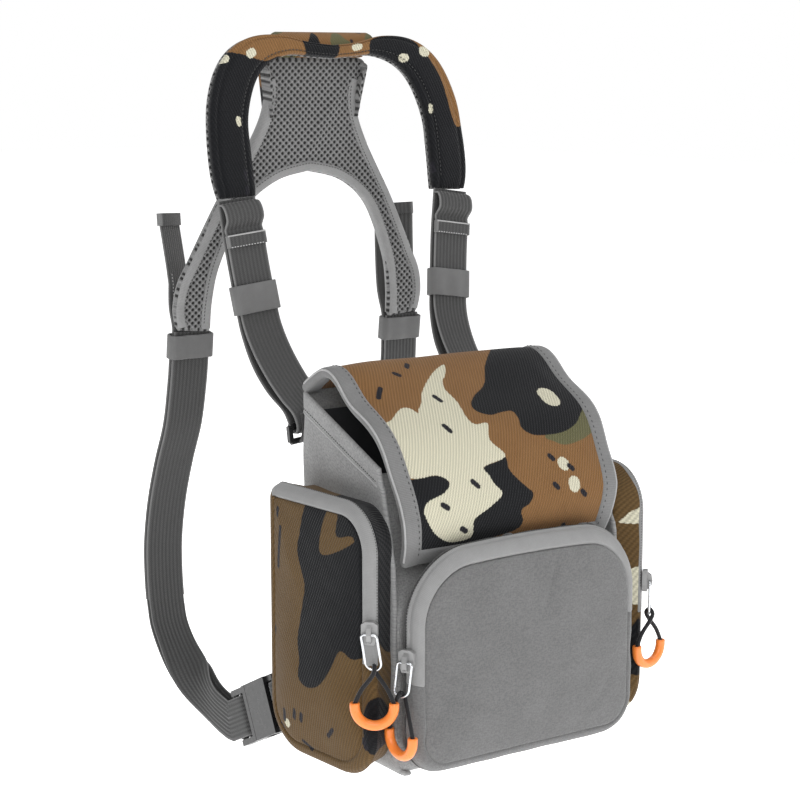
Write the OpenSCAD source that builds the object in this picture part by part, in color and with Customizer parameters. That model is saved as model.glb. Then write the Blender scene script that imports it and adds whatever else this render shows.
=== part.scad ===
// Binocular harness pack: a padded chest pouch with a domed tuck-in lid, three zip pockets and a
// yoke harness that ends in two side-release buckles. Millimetres, +Z up, -Y away from the wearer.
// The pack hangs from its neck band, so the origin lies under the middle of that band. The modules
// themselves work from the centre of the pouch's base, and worn() moves them to the origin.

/* [Pouch] */
// Width of the main pouch
pouch_w = 155; // [150:1:160]
// Depth of the main pouch at its base
pouch_d = 98; // [96:1:100]
// Height of the wall on the wearer's side
pouch_h = 202; // [200:1:204]
// Thickness of the padded walls
wall = 3; // [2.5:0.5:3.5]
// Thickness of the lining
lining_t = 1.2; // [1:0.2:1.6]
// Thickness of the base board
board_t = 2; // [1.5:0.5:2]

/* [Lid] */
// Thickness of the padded lid
lid_t = 4; // [3:0.5:4.5]
// Width of the binding tape that is seen on the lid
binding_w = 10; // [8:1:11]
// Thickness of one layer of binding tape
binding_t = 0.8; // [0.6:0.1:0.8]

/* [Pockets] */
// Width of the front pocket
front_w = 154; // [150:1:155]
// Height of the front pocket
front_h = 129; // [126:1:130]
// Depth of each side pocket
side_d = 29; // [27:1:30]
// Height of the side pockets
side_h = 153; // [150:1:155]
// Thickness of the pocket fabric with its foam
pocket_t = 2; // [1.5:0.5:2]

/* [Zips] */
// Width of the slider
slider_w = 9; // [8:0.5:10]
// Radius of the wire of the pull loop
wire_r = 0.7; // [0.65:0.05:0.8]
// Length of the pull loop
loop_l = 19; // [17:1:20]
// Radius of the pull cord
cord_r = 1.2; // [1.1:0.1:1.3]
// Outer radius of the rubber grip
grip_r = 2.75; // [2.5:0.05:2.9]
// Length of the front pull's cord from its wire loop to the grip
front_drop = 22; // [20:1:24]
// Length of a side pull's cord from its wire loop to the grip
side_drop = 20; // [18:1:21]

/* [Harness] */
// Width of the webbing
web_w = 26; // [25:1:27]
// Thickness of the webbing
web_t = 1.6; // [1.4:0.1:1.8]
// Thickness of the shoulder pads
pad_t = 8; // [7:1:9]
// Thickness of the air mesh
mesh_t = 5; // [4:1:6]
// Length of an elastic keeper
keeper_l = 17; // [14:1:18]

/* [Buckles] */
// Width of a buckle
buckle_w = 34; // [33:1:35]
// Thickness of a buckle
buckle_t = 9; // [8.6:0.2:9.4]

/* [Hidden] */
$fn = 48;
// Running clearance of a pin in its hole
run = 0.1;
// The point under the neck band, from the centre of the pouch's base
neck = [0, 144, 388];
back_y = pouch_d / 2;
front_y = -pouch_d / 2;
half_w = pouch_w / 2;
// Front edges of the side walls, bottom to top, and the front wall set back between them
wing = [[front_y, 0], [front_y, 95], [front_y + 2, 118], [front_y + 16, pouch_h - 33.5]];
set_back = [[front_y, 0], [front_y, 92], [front_y + 12, 112], [front_y + 20, pouch_h - 38]];
// The lid's outer line from the hinge over the dome and down to its tucked edge
lid_line = [[46.5, 203.5], [38, 210], [24, 216], [10, 213], [-10, 200.5], [-30, 186.5], [-44, 168],
    [-52.5, 148], [-52, 131], [-47.5, 118]];
// The lid's two side edges, as distances from the middle at some heights. It hangs a little askew.
lid_right = [[64, 110], [66.5, 118], [72, 147], [74, 176], [76.5, 200], [76.5, 240]];
lid_left = [[70, 110], [71.5, 118], [75, 147], [76, 176], [76.5, 200], [76.5, 240]];

// ---- Lines and sweeps ----

function last(p) = len(p) - 1;
function flip(p) = [for (i = [last(p):-1:0]) p[i]];
function unit(v) = v / norm(v);
function knot(a, b, c, d, t) = 0.5 * (2 * b + (c - a) * t + (2 * a - 5 * b + 4 * c - d) * t * t
    + (3 * b - a - 3 * c + d) * t * t * t);
// A smooth line through the points of p, n steps from each to the next
function spline(p, n) = concat([for (i = [0:last(p) - 1]) for (k = [0:n - 1])
    knot(p[max(i - 1, 0)], p[i], p[i + 1], p[min(i + 2, last(p))], k / n)], [p[last(p)]]);
function along(p, i) = unit(p[min(i + 1, last(p))] - p[max(i - 1, 0)]);
// A flat line moved sideways by d
function beside(p, d) = [for (i = [0:last(p)]) let (t = along(p, i)) p[i] + d * [-t[1], t[0]]];
// The outline of a flat strip of thickness t on both sides of a line
function strip(p, t) = concat(beside(p, t / 2), flip(beside(p, -t / 2)));
function arc(c, r, a0, a1, n) = [for (i = [0:n]) let (a = a0 + (a1 - a0) * i / n)
    c + r * [cos(a), sin(a)]];

// Joins rings of equal length into one solid, with a flat end at each side
module loft(rings) {
    n = len(rings[0]);
    m = last(rings);
    polyhedron(
        points = [for (r = rings) each r],
        faces = concat(
            [flip([for (i = [0:n - 1]) i])],
            [[for (i = [0:n - 1]) m * n + i]],
            [for (k = [0:m - 1]) for (i = [0:n - 1]) let (j = (i + 1) % n)
                each [[k * n + i, k * n + j, (k + 1) * n + j], [k * n + i, (k + 1) * n + j, (k + 1) * n + i]]]
        ),
        convexity = 10
    );
}

// Joins rings of equal length into a closed ring-shaped solid
module hoop(rings) {
    n = len(rings[0]);
    m = len(rings);
    polyhedron(
        points = [for (r = rings) each r],
        faces = [for (k = [0:m - 1]) for (i = [0:n - 1]) let (j = (i + 1) % n, q = (k + 1) % m)
            each [[k * n + i, k * n + j, q * n + j], [k * n + i, q * n + j, q * n + i]]],
        convexity = 10
    );
}

// A flat band along a line in space; d holds the direction of its width at each point
function band_ring(p, d, i, w, t) = let (
    a = along(p, i),
    s = unit(d[i] - (d[i] * a) * a),
    u = cross(a, s)
) [p[i] - s * w / 2 - u * t / 2, p[i] + s * w / 2 - u * t / 2,
    p[i] + s * w / 2 + u * t / 2, p[i] - s * w / 2 + u * t / 2];
module band(p, d, w, t) {
    loft([for (i = [0:last(p)]) band_ring(p, d, i, w, is_list(t) ? t[i] : t)]);
}

// A round cord of radius r along a line in space, with 8 sides
module cord(p, r) {
    loft([for (i = [0:last(p)]) let (
        a = along(p, i),
        s = unit(cross(a, abs(a[0]) > 0.7 ? [0, 1, 0] : [1, 0, 0])),
        u = cross(a, s)
    ) [for (k = [0:7]) p[i] + r * (cos(k * 45) * s + sin(k * 45) * u)]]);
}

// A solid between x0 and x1 whose side view is the flat outline p, given as [y, z]
module side_view(p, x0, x1) {
    translate([x0, 0, 0]) rotate([90, 0, 90]) linear_extrude(x1 - x0) polygon(p);
}

// A solid between y0 and y1 whose front view is the flat outline p, given as [x, z]
module front_view(p, y0, y1) {
    translate([0, y1, 0]) rotate([90, 0, 0]) linear_extrude(y1 - y0) polygon(p);
}

module worn() {
    translate(-neck) children();
}

module other_side() {
    mirror([1, 0, 0]) children();
}

// ---- Pouch ----

edge_r = 9;

function side_outline() = concat(
    arc([front_y + edge_r, edge_r], edge_r, 270, 180, 6), [for (i = [1:3]) wing[i]],
    [[back_y, pouch_h]], arc([back_y - edge_r, edge_r], edge_r, 0, -90, 6));

// The block that rounds the pouch's upright edges, and the one that rounds its lower side edges
module rounded_plan() {
    x = half_w - edge_r;
    y = pouch_d / 2 - edge_r;
    linear_extrude(pouch_h + 10) polygon(concat(arc([x, y], edge_r, 0, 90, 6), arc([-x, y], edge_r, 90, 180, 6),
        arc([3 - half_w, 3 - pouch_d / 2], 3, 180, 270, 3), arc([half_w - 3, 3 - pouch_d / 2], 3, 270, 360, 3)));
}

module rounded_front() {
    x = half_w - edge_r;
    front_view(concat(arc([-x, edge_r], edge_r, 180, 270, 6), arc([x, edge_r], edge_r, 270, 360, 6),
        [[half_w, 220], [-half_w, 220]]), -60, 60);
}

module pouch_shell() color("#7b7b7b") {
    inner = half_w - wall;
    intersection() {
        rounded_plan();
        rounded_front();
        union() {
            for (i = [-1, 1]) side_view(side_outline(), i > 0 ? inner : -half_w, i > 0 ? half_w : -inner);
            side_view([[front_y, 0], [front_y, wall], [back_y, wall], [back_y, 0]], -inner, inner);
            side_view([[back_y - wall, 0], [back_y - wall, pouch_h], [back_y, pouch_h], [back_y, 0]], -inner, inner);
            side_view(concat(set_back, [for (q = flip(set_back)) q + [wall, 0]]), -inner, inner);
        }
    }
}

module pouch_lining() color("#4a4c4f") {
    inner = half_w - wall;
    x = inner - lining_t;
    top = pouch_h - 12;
    y0 = front_y + wall;
    y1 = back_y - wall;
    z0 = wall + board_t;
    front = [[y0, z0], [y0, 92], [y0 + 12, 112], [y0 + 18.6, top - 36]];
    sides = concat(front, [[y1, top], [y1, z0]]);
    for (i = [-1, 1]) side_view(sides, i > 0 ? x : -inner, i > 0 ? inner : -x);
    side_view([[y0, z0], [y0, z0 + lining_t], [y1, z0 + lining_t], [y1, z0]], -x, x);
    side_view([[y1 - lining_t, z0], [y1 - lining_t, top], [y1, top], [y1, z0]], -x, x);
    side_view(concat(front, [for (q = flip(front)) q + [lining_t, 0]]), -x, x);
}

module base_board() color("#2b2b2b") {
    translate([0, 0, wall + board_t / 2])
        cube([pouch_w - 2 * wall - 2, pouch_d - 2 * wall - 2, board_t], center = true);
}

// Air-mesh pad on the wearer's side, with round corners
module back_pad() color("#6f7173") {
    w = 112;
    h = 150;
    t = 7;
    r = 16;
    outline = concat(arc([w / 2 - r, 22 + r], r, -90, 0, 8), arc([w / 2 - r, 22 + h - r], r, 0, 90, 8),
        arc([r - w / 2, 22 + h - r], r, 90, 180, 8), arc([r - w / 2, 22 + r], r, 180, 270, 8));
    front_view(outline, back_y, back_y + t);
}

// The lid's cover runs on over the hinge and is sewn to the top of the back wall
module hinge_flap() color("#8a6238") {
    side_view([[back_y, 188], [back_y, 203], [back_y + 1.4, 203], [back_y + 1.4, 188]], -46, 46);
}

// ---- Lid ----

function lid_front(grow, low) = concat([for (q = lid_right) [q[0] + grow, max(q[1], low)]],
    [for (q = flip(lid_left)) [-q[0] - grow, max(q[1], low)]]);

module lid_sheet(out, inn, tail) {
    smooth = spline(lid_line, 5);
    line = concat(smooth, [for (k = [1:tail > 0 ? 1 : 0]) smooth[last(smooth)] + [0.28, -1] * tail]);
    side_view(concat(beside(line, inn), flip(beside(line, out))), -90, 90);
}

module lid_solid() {
    intersection() {
        lid_sheet(0, lid_t, 0);
        front_view(lid_front(0, 100), -70, 60);
    }
}

module lid() color("#8a6238") lid_solid();

module lid_binding() color("#808080") {
    difference() {
        intersection() {
            lid_sheet(-binding_t, lid_t + binding_t, 0.8);
            front_view(lid_front(binding_t, 90), -70, 40);
        }
        front_view(lid_front(-binding_w, 118 + binding_w), -80, 80);
        lid_solid();
    }
}

// ---- Pockets ----

// A ring with straight sides and round corners: r0 at the bottom, r1 at the top of the first side,
// r2 at the top of the second. Every ring has the same number of points. The straight sides keep a
// point at the shares s0 and s1 of their height, where a zip begins or ends. The top edge moves in
// k times as far as the others, where the zip's tape is seen wider.
function corner(r, d) = max(r - d, 2);
function between(a, b, s) = a + (b - a) * s;
function pocket_ring(a, b, z0, z1, r0, r1, r2, s0, s1, d, k) = let (
    c0 = corner(r0, d), c1 = corner(r1, d), c2 = corner(r2, d),
    lo = z0 + d, hi = z1 - k * d, x0 = a + d, x1 = b - d
) concat(
    arc([x0 + c0, lo + c0], c0, 270, 180, 8),
    [[x0, between(lo + c0, hi - c1, s0)]],
    arc([x0 + c1, hi - c1], c1, 180, 90, 10),
    [[(x0 + x1) / 2, hi]],
    arc([x1 - c2, hi - c2], c2, 90, 0, 10),
    [[x1, between(lo + c0, hi - c2, s1)]],
    arc([x1 - c0, lo + c0], c0, 0, -90, 8)
);
// Places in that ring: where the zip starts and ends
zip_from = 9;
zip_to = 33;

// The front pocket's top edge is crowned: it falls by 4 towards the corners
function crown(p) = [p[0], p[1] - 4 * pow(p[0] / (front_w / 2), 2) * p[1] / front_h];
// Its upper part leans forward by up to `lean`, clear of the lid's tucked edge
function front_ring(y, d, lean = 0) = [for (p = pocket_ring(-front_w / 2, front_w / 2, 4, front_h, 22, 36, 36, 0.5, 0.78, d, 1.5))
    let (c = crown(p)) [c[0], y - lean * max(0, c[1] - 96) / (front_h - 96), c[1]]];
// The side pocket on the -X side: outline in [y, z], and depth x from the wall. The pocket is
// shallower towards its front edge.
side_front = -52;
side_back = 40;
function depth_at(x, y) = half_w + x * (0.68 + 0.32 * (y - side_front) / (side_back - side_front));
function side_ring(x, d) = [for (p = pocket_ring(side_front, side_back, 1, side_h, 28, 26, 9, 0.4, 0.62, d, 1))
    [-depth_at(x, p[0]), p[0], p[1]]];
// At the wall the side pocket starts further back than at its outer edge
function side_foot(x, y, d) = [for (p = pocket_ring(y, side_back, 4, side_h - 4, 24, 22, 9, 0.4, 0.62, d, 1))
    [-half_w - x, p[0], p[1]]];

// A wall that joins a list of rings, between places i0 and i1 of the rings
module ring_part(rings, i0, i1) {
    loft([for (i = [i0:i1]) [for (r = rings) r[i % len(r)]]]);
}

module ring_all(rings) {
    n = len(rings[0]);
    hoop([for (i = [0:n - 1]) [for (r = rings) r[i]]]);
}

f0 = front_y;
ring_n = 43;

module front_gusset() color("#6c6c6c") {
    t = pocket_t;
    ring_all([front_ring(f0, 4, 8), front_ring(f0 - 5, 0.6, 5), front_ring(f0 - 8.5, 0, 2),
        front_ring(f0 - 8.5, t, 2), front_ring(f0 - 5, t + 0.6, 5), front_ring(f0, t + 4, 8)]);
}

function front_zip_rings() = [front_ring(f0 - 8.5, 0, 2), front_ring(f0 - 13, 0.7, 1), front_ring(f0 - 16.5, 2.8),
    front_ring(f0 - 18.5, 6), front_ring(f0 - 16.8, 6), front_ring(f0 - 15, 3.8),
    front_ring(f0 - 12.6, pocket_t + 0.2, 1), front_ring(f0 - 8.5, pocket_t, 2)];

module front_zip_tape() color("#9c9c9c") ring_part(front_zip_rings(), zip_from, zip_to);

module front_lower_band() color("#6c6c6c") ring_part(front_zip_rings(), zip_to, ring_n + zip_from);

module front_panel() color("#7b7b7b") {
    loft([front_ring(f0 - 20.8, 34), front_ring(f0 - 19.6, 18), front_ring(f0 - 16.8, 6), front_ring(f0 - 18.5, 6),
        front_ring(f0 - 21.6, 18), front_ring(f0 - 22.8, 34)]);
}

function side_zip_rings() = [side_ring(side_d - 9, 0), side_ring(side_d - 5.5, 0.6), side_ring(side_d - 2.6, 2.8),
    side_ring(side_d - 1, 7), side_ring(side_d - 2.7, 7), side_ring(side_d - 4, 4), side_ring(side_d - 6, pocket_t),
    side_ring(side_d - 9, pocket_t)];
// The side zip runs on to the pocket's top corner at the back
side_zip_to = 29;

module left_gusset() color("#6d5537") {
    t = pocket_t;
    ring_all([side_foot(0, -45, 0), side_foot(6, -48, 0), side_ring(side_d - 9, 0), side_ring(side_d - 9, t),
        side_foot(6, -48, t), side_foot(0, -45, t)]);
    ring_part(side_zip_rings(), side_zip_to, ring_n + zip_from);
}

module left_zip_tape() color("#9c9c9c") ring_part(side_zip_rings(), zip_from, side_zip_to);

module left_panel() color("#6d5537") {
    loft([side_ring(side_d + 1.2, 30), side_ring(side_d + 0.1, 18), side_ring(side_d - 2.7, 7), side_ring(side_d - 1, 7),
        side_ring(side_d + 1.9, 18), side_ring(side_d + 3, 30)]);
}

// ---- Zip sliders and pulls, drawn with the zip upright and its face towards -Y ----

bridge_y = -4.4;

module slider() color("#8f8f8f") {
    w = slider_w / 2;
    front_view([[-w, 5], [-w, -1], [-w * 0.6, -6], [w * 0.6, -6], [w, -1], [w, 5], [w * 0.5, 6.5], [-w * 0.5, 6.5]], -2.8, 0);
    difference() {
        side_view([[-2.8, -5], [-5, -3.6], [-5.8, 0], [-5, 3.6], [-2.8, 5]], -1.3, 1.3);
        translate([0, bridge_y, 0]) rotate([0, 90, 0]) cylinder(r = wire_r + run, h = 6, center = true);
    }
}

// An oblong wire loop that hangs from the slider's bridge
module pull_wire() color("#c9ccd0") {
    r = 4.2;
    e = 1.6;
    translate([0, bridge_y, 0]) {
        rotate([0, 90, 0]) cylinder(r = wire_r, h = 2 * (r - e), center = true);
        for (i = [-1, 1]) {
            translate([i * (r - e), 0, -e]) rotate([90, 0, 0]) mirror([i < 0 ? 1 : 0, 0, 0])
                rotate_extrude(angle = 90) translate([e, 0]) circle(wire_r);
            translate([i * r, 0, r - loop_l]) cylinder(r = wire_r, h = loop_l - r - e);
        }
        translate([0, 0, r - loop_l]) rotate([-90, 0, 0]) rotate_extrude(angle = 180) translate([r, 0]) circle(wire_r);
    }
}

grip_half = 10.5;

// Drawn from the wire loop's lowest point: a cord that goes round the wire and down into both
// ends of the grip
module pull_cord(drop) color("#1c1c1c") {
    a = wire_r + cord_r + 0.6;
    cord(spline([[-grip_half, 0, -drop - 3], [-grip_half, 0, -drop + 1], [-7, -0.6, -drop * 0.55],
        [-2, 0.4 - a, -4], [0, -a, 0], [0, 0, a], [0, a, 0], [2, a - 0.4, -4],
        [7, 0.6, -drop * 0.55], [grip_half, 0, -drop + 1], [grip_half, 0, -drop - 3]], 3), cord_r);
}

// A rubber tube bent to a U, with short straight ends
module pull_grip(drop) color("#f98f42") {
    translate([0, 0, -drop]) {
        rotate([-90, 0, 0]) rotate_extrude(angle = 180) translate([grip_half, 0]) ring_2d();
        for (i = [-1, 1]) translate([i * grip_half, 0, -0.01]) linear_extrude(2) ring_2d();
    }
}

module ring_2d() {
    difference() {
        circle(grip_r);
        circle(cord_r + 0.3);
    }
}

// Where the slider of each zip sits at its closed end, and how far it is turned about Z
front_slider_at = [-77.6, f0 - 11.6, 70];
front_yaw = -60;
side_slider_at = [-95.4, -50.9, 86];
side_yaw = -44;

// The lowest point of the wire loop that hangs from a slider
function loop_end(p, yaw) = p + [-bridge_y * sin(yaw), bridge_y * cos(yaw), -loop_l];

module turned(p, yaw) {
    translate(p) rotate([0, 0, yaw]) children();
}

module at_front() {
    turned(front_slider_at, front_yaw) children();
}

module at_left() {
    turned(side_slider_at, side_yaw) children();
}

module at_right() {
    other_side() at_left() children();
}

// The grips hang turned a little from their wire loops
module under_front() {
    turned(loop_end(front_slider_at, front_yaw), -88) children();
}

module under_left() {
    turned(loop_end(side_slider_at, side_yaw), -36) children();
}

module under_right() {
    q = loop_end(side_slider_at, side_yaw);
    turned([-q[0], q[1], q[2]], 8) children();
}

// ---- Harness ----

// A frame that leans: z runs up the sheet, and y is across it
module leaning(y, z, lean) {
    translate([0, y, z]) rotate([-lean, 0, 0]) children();
}

pad_lean = 10.4;
yoke_lean = -5.8;
pad_base = [115, 306];
// Half outlines, from the foot of one side over the neck to the middle, from the foot upwards
pad_outer = [[88, 0], [90.5, 14], [90.5, 34], [88, 56], [81, 75], [70, 88], [55, 95], [36, 96], [18, 92], [0, 90]];
pad_inner = [[64, 1], [64.5, 24], [64, 46], [57, 67], [46, 79], [30, 84.5], [14, 83.5], [0, 82.5]];

function pad_outline() =
    concat(spline(pad_outer, 3), [for (q = flip(spline(pad_outer, 3))) if (q[0] > 0.1) [-q[0], q[1]]],
        [for (q = spline(pad_inner, 3)) [-q[0], q[1]]], [for (q = flip(spline(pad_inner, 3))) if (q[0] > 0.1) q]);

module pad_sheet(y0, y1) {
    leaning(pad_base[0], pad_base[1], pad_lean) front_view(pad_outline(), y0, y1);
}

module shoulder_pads() color("#2a2a2c") {
    pad_sheet(0, pad_t - 2);
    // The saddle over the back of the neck, from the pads to the yoke
    side_view(strip(spline([[135, 392], [139, 398], [146, 400.8], [152, 398], [155, 390]], 4), 3), -34, 34);
}

module shoulder_mesh() color("#8b8b8b") {
    difference() {
        pad_sheet(pad_t - 2, pad_t);
        translate([-34, 120, 370]) cube([68, 40, 60]);
    }
}

// The yoke: a panel over the shoulder blades that splits into two legs, from the foot upwards
yoke_base = [170, 222];
yoke_outer = [[88, 2], [89.5, 14], [87, 28], [80, 42], [71, 60], [61, 79], [50, 97], [40, 114], [33, 130],
    [31, 144], [33.5, 156], [36, 163], [18, 165], [0, 165]];
yoke_inner = [[68, 0], [67, 18], [62, 41], [46, 74], [24, 91], [0, 97]];

function to_middle(p) = [for (i = [0:last(p)]) i == last(p) ? [0, p[i][1]] : p[i]];
function yoke_outline(d) = let (
    o = to_middle(beside(spline(yoke_outer, 3), d)),
    n = to_middle(beside(spline(yoke_inner, 4), -d))
) concat(o, [for (q = flip(o)) if (q[0] > 0.1) [-q[0], q[1]]], [for (q = n) [-q[0], q[1]]],
    [for (q = flip(n)) if (q[0] > 0.1) q]);

module yoke_sheet(d, y0, y1) {
    leaning(yoke_base[0], yoke_base[1], yoke_lean) front_view(yoke_outline(d), y0, y1);
}

module yoke_mesh() color("#8f8f8f") yoke_sheet(0, 0, mesh_t);

module yoke_cover() color("#8a6238") yoke_sheet(0, mesh_t, mesh_t + 1.4);

// Binding folded over an edge of the yoke; side is 1 where the sheet lies left of the line
module bound_edge(line, side) {
    t = mesh_t + 1.4;
    outside = beside(line, -side);
    inset = flip(beside(line, 5 * side));
    front_view(concat(outside, inset), -binding_t, 0);
    front_view(concat(outside, inset), t, t + binding_t);
    front_view(concat(outside, flip(line)), -binding_t, t + binding_t);
}

module yoke_binding() color("#808080") {
    inner = spline(yoke_inner, 4);
    outer = [for (q = spline(yoke_outer, 3)) if (q[1] < 152) q];
    leaning(yoke_base[0], yoke_base[1], yoke_lean) {
        bound_edge(concat(inner, [for (q = flip(inner)) if (q[0] > 0.1) [-q[0], q[1]]]), -1);
        bound_edge(outer, 1);
        bound_edge([for (q = flip(outer)) [-q[0], q[1]]], 1);
    }
}

// ---- Front straps ----

right_x = 69;
left_x = 71;
keeper_z = 247;
ring_c = [57, 180];
// The webbing goes down from the pad, round the ring and up again to a folded hem
strap_down = [[117.5, 305.5], [116.6, 295], [115.4, 282], [113, 265], [109.8, 247], [106, 228], [97, 210], [83, 196.5]];
strap_turn = [[67, 187.5], [61.2, 180], [56.4, 175.8], [52.6, 179.5], [56, 187]];
strap_up = [[68, 194], [81, 204], [93.6, 217.4], [102.2, 232], [105.8, 248], [109, 266], [111.4, 284]];

// Each strap leans outwards towards its pad
right_lean = 8;
left_lean = 6;
module at_right_strap() {
    translate([right_x, 0, keeper_z]) rotate([0, right_lean, 0]) translate([0, 0, -keeper_z]) children();
}

module at_left_strap() {
    translate([-left_x, 0, keeper_z]) rotate([0, -left_lean, 0]) translate([0, 0, -keeper_z]) children();
}

module front_strap() color("#555555") {
    side_view(strip(concat(spline(concat(strap_down, strap_turn, strap_up), 4)), web_t), -web_w / 2, web_w / 2);
    // The hem, and the slack curl of webbing above it
    translate([0, 110.2, 282]) rotate([-8, 0, 0]) cube([web_w, 3.4, 7], center = true);
    side_view(strip(spline([[115.4, 289], [111.6, 290.5], [109, 294.6], [110, 299.6], [113, 303], [116.8, 303]], 4), web_t),
        -web_w / 2, web_w / 2);
}

// Keepers are flat sleeves: their slot is wider and thicker than both layers of webbing
module sleeve(w, t, l, thick) {
    difference() {
        cube([w + 2 * thick, t + 2 * thick, l], center = true);
        cube([w, t, l + 2], center = true);
    }
}

module front_keeper() color("#8b8b8b") {
    translate([0, 107.8, 247.5]) rotate([-10.4, 0, 0]) sleeve(web_w + 1.2, 7.4, keeper_l, 1);
}

module top_tab() color("#555555") {
    t = 1.6;
    side_view(strip([[back_y + t / 2, 187], [back_y + t / 2, 180], [back_y + 3, 174], [ring_c[0], ring_c[1] - 9.4]], t), -11, 11);
}

// A square ring: two round bars joined by flat cheeks
module top_ring() color("#1c1c1c") {
    h = 15;
    r = 1.8;
    translate([0, ring_c[0], ring_c[1]]) {
        for (z = [0, -9]) translate([0, 0, z]) rotate([0, 90, 0]) cylinder(r = r, h = 2 * h, center = true);
        for (i = [-1, 1]) translate([i * h, 0, -4.5]) cube([2.6, 3, 9.4], center = true);
    }
}

// ---- Rear straps ----

// The middle line between the two layers of the rear strap, from the mesh leg to the buckle
rear_line = [[-78, 174.5, 221], [-78.6, 176.5, 205], [-79.2, 178.5, 188], [-80, 184, 162], [-81.5, 194, 136],
    [-83, 201.5, 110], [-84, 205.5, 84], [-84, 206, 62], [-84, 204.4, 46]];
loop_line = [[-84, 203.4, 41], [-84, 199.4, 29], [-83.6, 189, 16], [-83.2, 173.5, 4.5], [-82.8, 155, -4.5],
    [-82.4, 137, -10.5], [-82, 119.6, -13.4]];
tail_line = [[-80, 182.5, 238], [-81.5, 186.5, 263], [-83.5, 190, 287]];
tail_turn = 35;
buckle_lean = 26.6;
buckle_at = [-82, 66, 13.5];
across = [0, sin(buckle_lean), cos(buckle_lean)];
rear_gap = 3.6;

// Both layers of a webbing loop: the line moved to each side, square to the webbing's width
function layer(p, d, s) = [for (i = [0:last(p)]) let (a = along(p, i), u = cross(a, unit(d[i] - (d[i] * a) * a)))
    p[i] + s * u];

module rear_strap() color("#555555") {
    flat = [for (q = rear_line) [-1, 0, 0]];
    front = spline(layer(rear_line, flat, -rear_gap / 2), 4);
    back = spline(concat(flip(tail_line), layer(rear_line, flat, rear_gap / 2)), 4);
    hem = [for (z = [6, -0.4, -0.8]) back[0] + [0, 0.1 * z, z]];
    full = concat(hem, [for (i = [1:last(back)]) back[i]]);
    band(front, [for (q = front) [-1, 0, 0]], web_w, web_t);
    // The tail turns about its length above the keeper
    band(full, [for (i = [0:last(full)]) let (a = tail_turn * min(1, max(0, (15 - i) / 7))) [-cos(a), -sin(a), 0]],
        web_w, [for (i = [0:last(full)]) i < 2 ? 3.6 : web_t]);
}

module rear_keeper() color("#8b8b8b") {
    translate([-78.4, 175.5, 212]) rotate([6.8, 0, 0]) sleeve(web_w + 1.6, 7.4, 15, 1);
}

// ---- Buckles, drawn with the release direction along +Y and the width along Z ----

bar_r = 2;
slot_half = 13.4;
mouth_y = 30;
hook_y = 28.5;
hook_z = 11.4;

module placed_buckle() {
    translate(buckle_at) rotate([-buckle_lean, 0, 0]) children();
}

module block(x, y0, y1, z0, z1) {
    translate([-x, y0, z0]) cube([2 * x, y1 - y0, z1 - z0]);
}

module socket() color("#1f1f20") {
    w = buckle_w / 2;
    t = buckle_t / 2;
    cylinder(r = bar_r, h = 2 * slot_half + 2, center = true);
    for (i = [-1, 1]) block(2.6, -2, 6, i > 0 ? slot_half : -w, i > 0 ? w : -slot_half);
    difference() {
        block(t, 5.4, mouth_y, -w, w);
        block(2.8, 8, mouth_y + 1, -14.2, 14.2);
        for (i = [-1, 1]) block(2.8, 10.5, 23, i > 0 ? 12 : -w - 1, i > 0 ? w + 1 : -12);
    }
}

module plug() color("#1f1f20") {
    w = buckle_w / 2;
    block(buckle_t / 2, mouth_y + 0.4, 34, -w, w);
    block(2.4, 10, 31, -2, 2);
    for (i = [-1, 1]) block(2.6, 34, 52, i > 0 ? slot_half : -w, i > 0 ? w : -slot_half);
    translate([0, 42, 0]) cylinder(r = 1.8, h = 2 * slot_half + 2, center = true);
    translate([0, 51, 0]) cylinder(r = bar_r, h = 2 * slot_half + 2, center = true);
    // Seats that hold the round roots of the two prongs
    for (i = [-1, 1]) difference() {
        block(2.4, hook_y + 0.2, 31, i > 0 ? hook_z - 2.4 : -hook_z - 2.4, i > 0 ? hook_z + 2.4 : -hook_z + 2.4);
        translate([0, hook_y, i * hook_z]) rotate([0, 90, 0]) cylinder(r = 1.5 + run, h = 12, center = true);
    }
}

// One sprung prong with its squeeze pad; its root is round about the hinge line
module prong() color("#1f1f20") {
    translate([0, hook_y, hook_z]) rotate([0, 90, 0]) cylinder(r = 1.5, h = 4.8, center = true);
    side_view([[hook_y, hook_z - 1.4], [hook_y, hook_z + 1.4], [19.5, 12.6], [19.5, 14.5], [15, 15.2], [12.6, 14.4], [12, 12.6],
        [13, 10.2], [19.5, 9.8]], -2.4, 2.4);
}

// Webbing that comes from the hanging strap, twists, goes round the ladder's bar and comes back
module strap_loop() color("#555555") {
    far = spline(loop_line, 4);
    n = last(far);
    d = [for (i = [0:n]) let (k = min(1, max(0, (i / n - 0.25) / 0.6)), e = k * k * (3 - 2 * k)) (1 - e) * [-1, 0, 0] - e * across];
    reach = [for (i = [0:n]) let (k = i / n) rear_gap / 2 + k * k * 1.6];
    sides = [for (s = [-1, 1]) [for (i = [0:n]) let (a = along(far, i), u = cross(a, unit(d[i] - (d[i] * a) * a)))
        far[i] + s * reach[i] * u]];
    turn = [on(-3.3, 51), on(-3, 42), on(-2.1, 39.9), on(0, 39), on(2.1, 39.9), on(3, 42), on(3.3, 51)];
    p = concat(sides[0], turn, flip(sides[1]));
    w = concat(d, [for (q = turn) -across], flip(d));
    band(p, w, web_w - 1, web_t);
}

// A point of the buckle, x across its thickness and y along its release direction
function on(x, y) = buckle_at + [x, y * cos(buckle_lean), -y * sin(buckle_lean)];

module side_tab() color("#555555") {
    p = spline([[-75.8, 42.5, 26], [-76.8, 49, 22.6], on(2.8, -7), on(3.2, 0), on(2.2, 2.2), on(0, 3.2),
        on(-2.2, 2.2), on(-3.2, 0), on(-1.4, -8), [-78.8, 49, 22.4], [-77.8, 42.5, 26]], 2);
    band(p, [for (q = p) across], web_w - 1, 1.4);
}

// ---- Nodes ----

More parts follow.
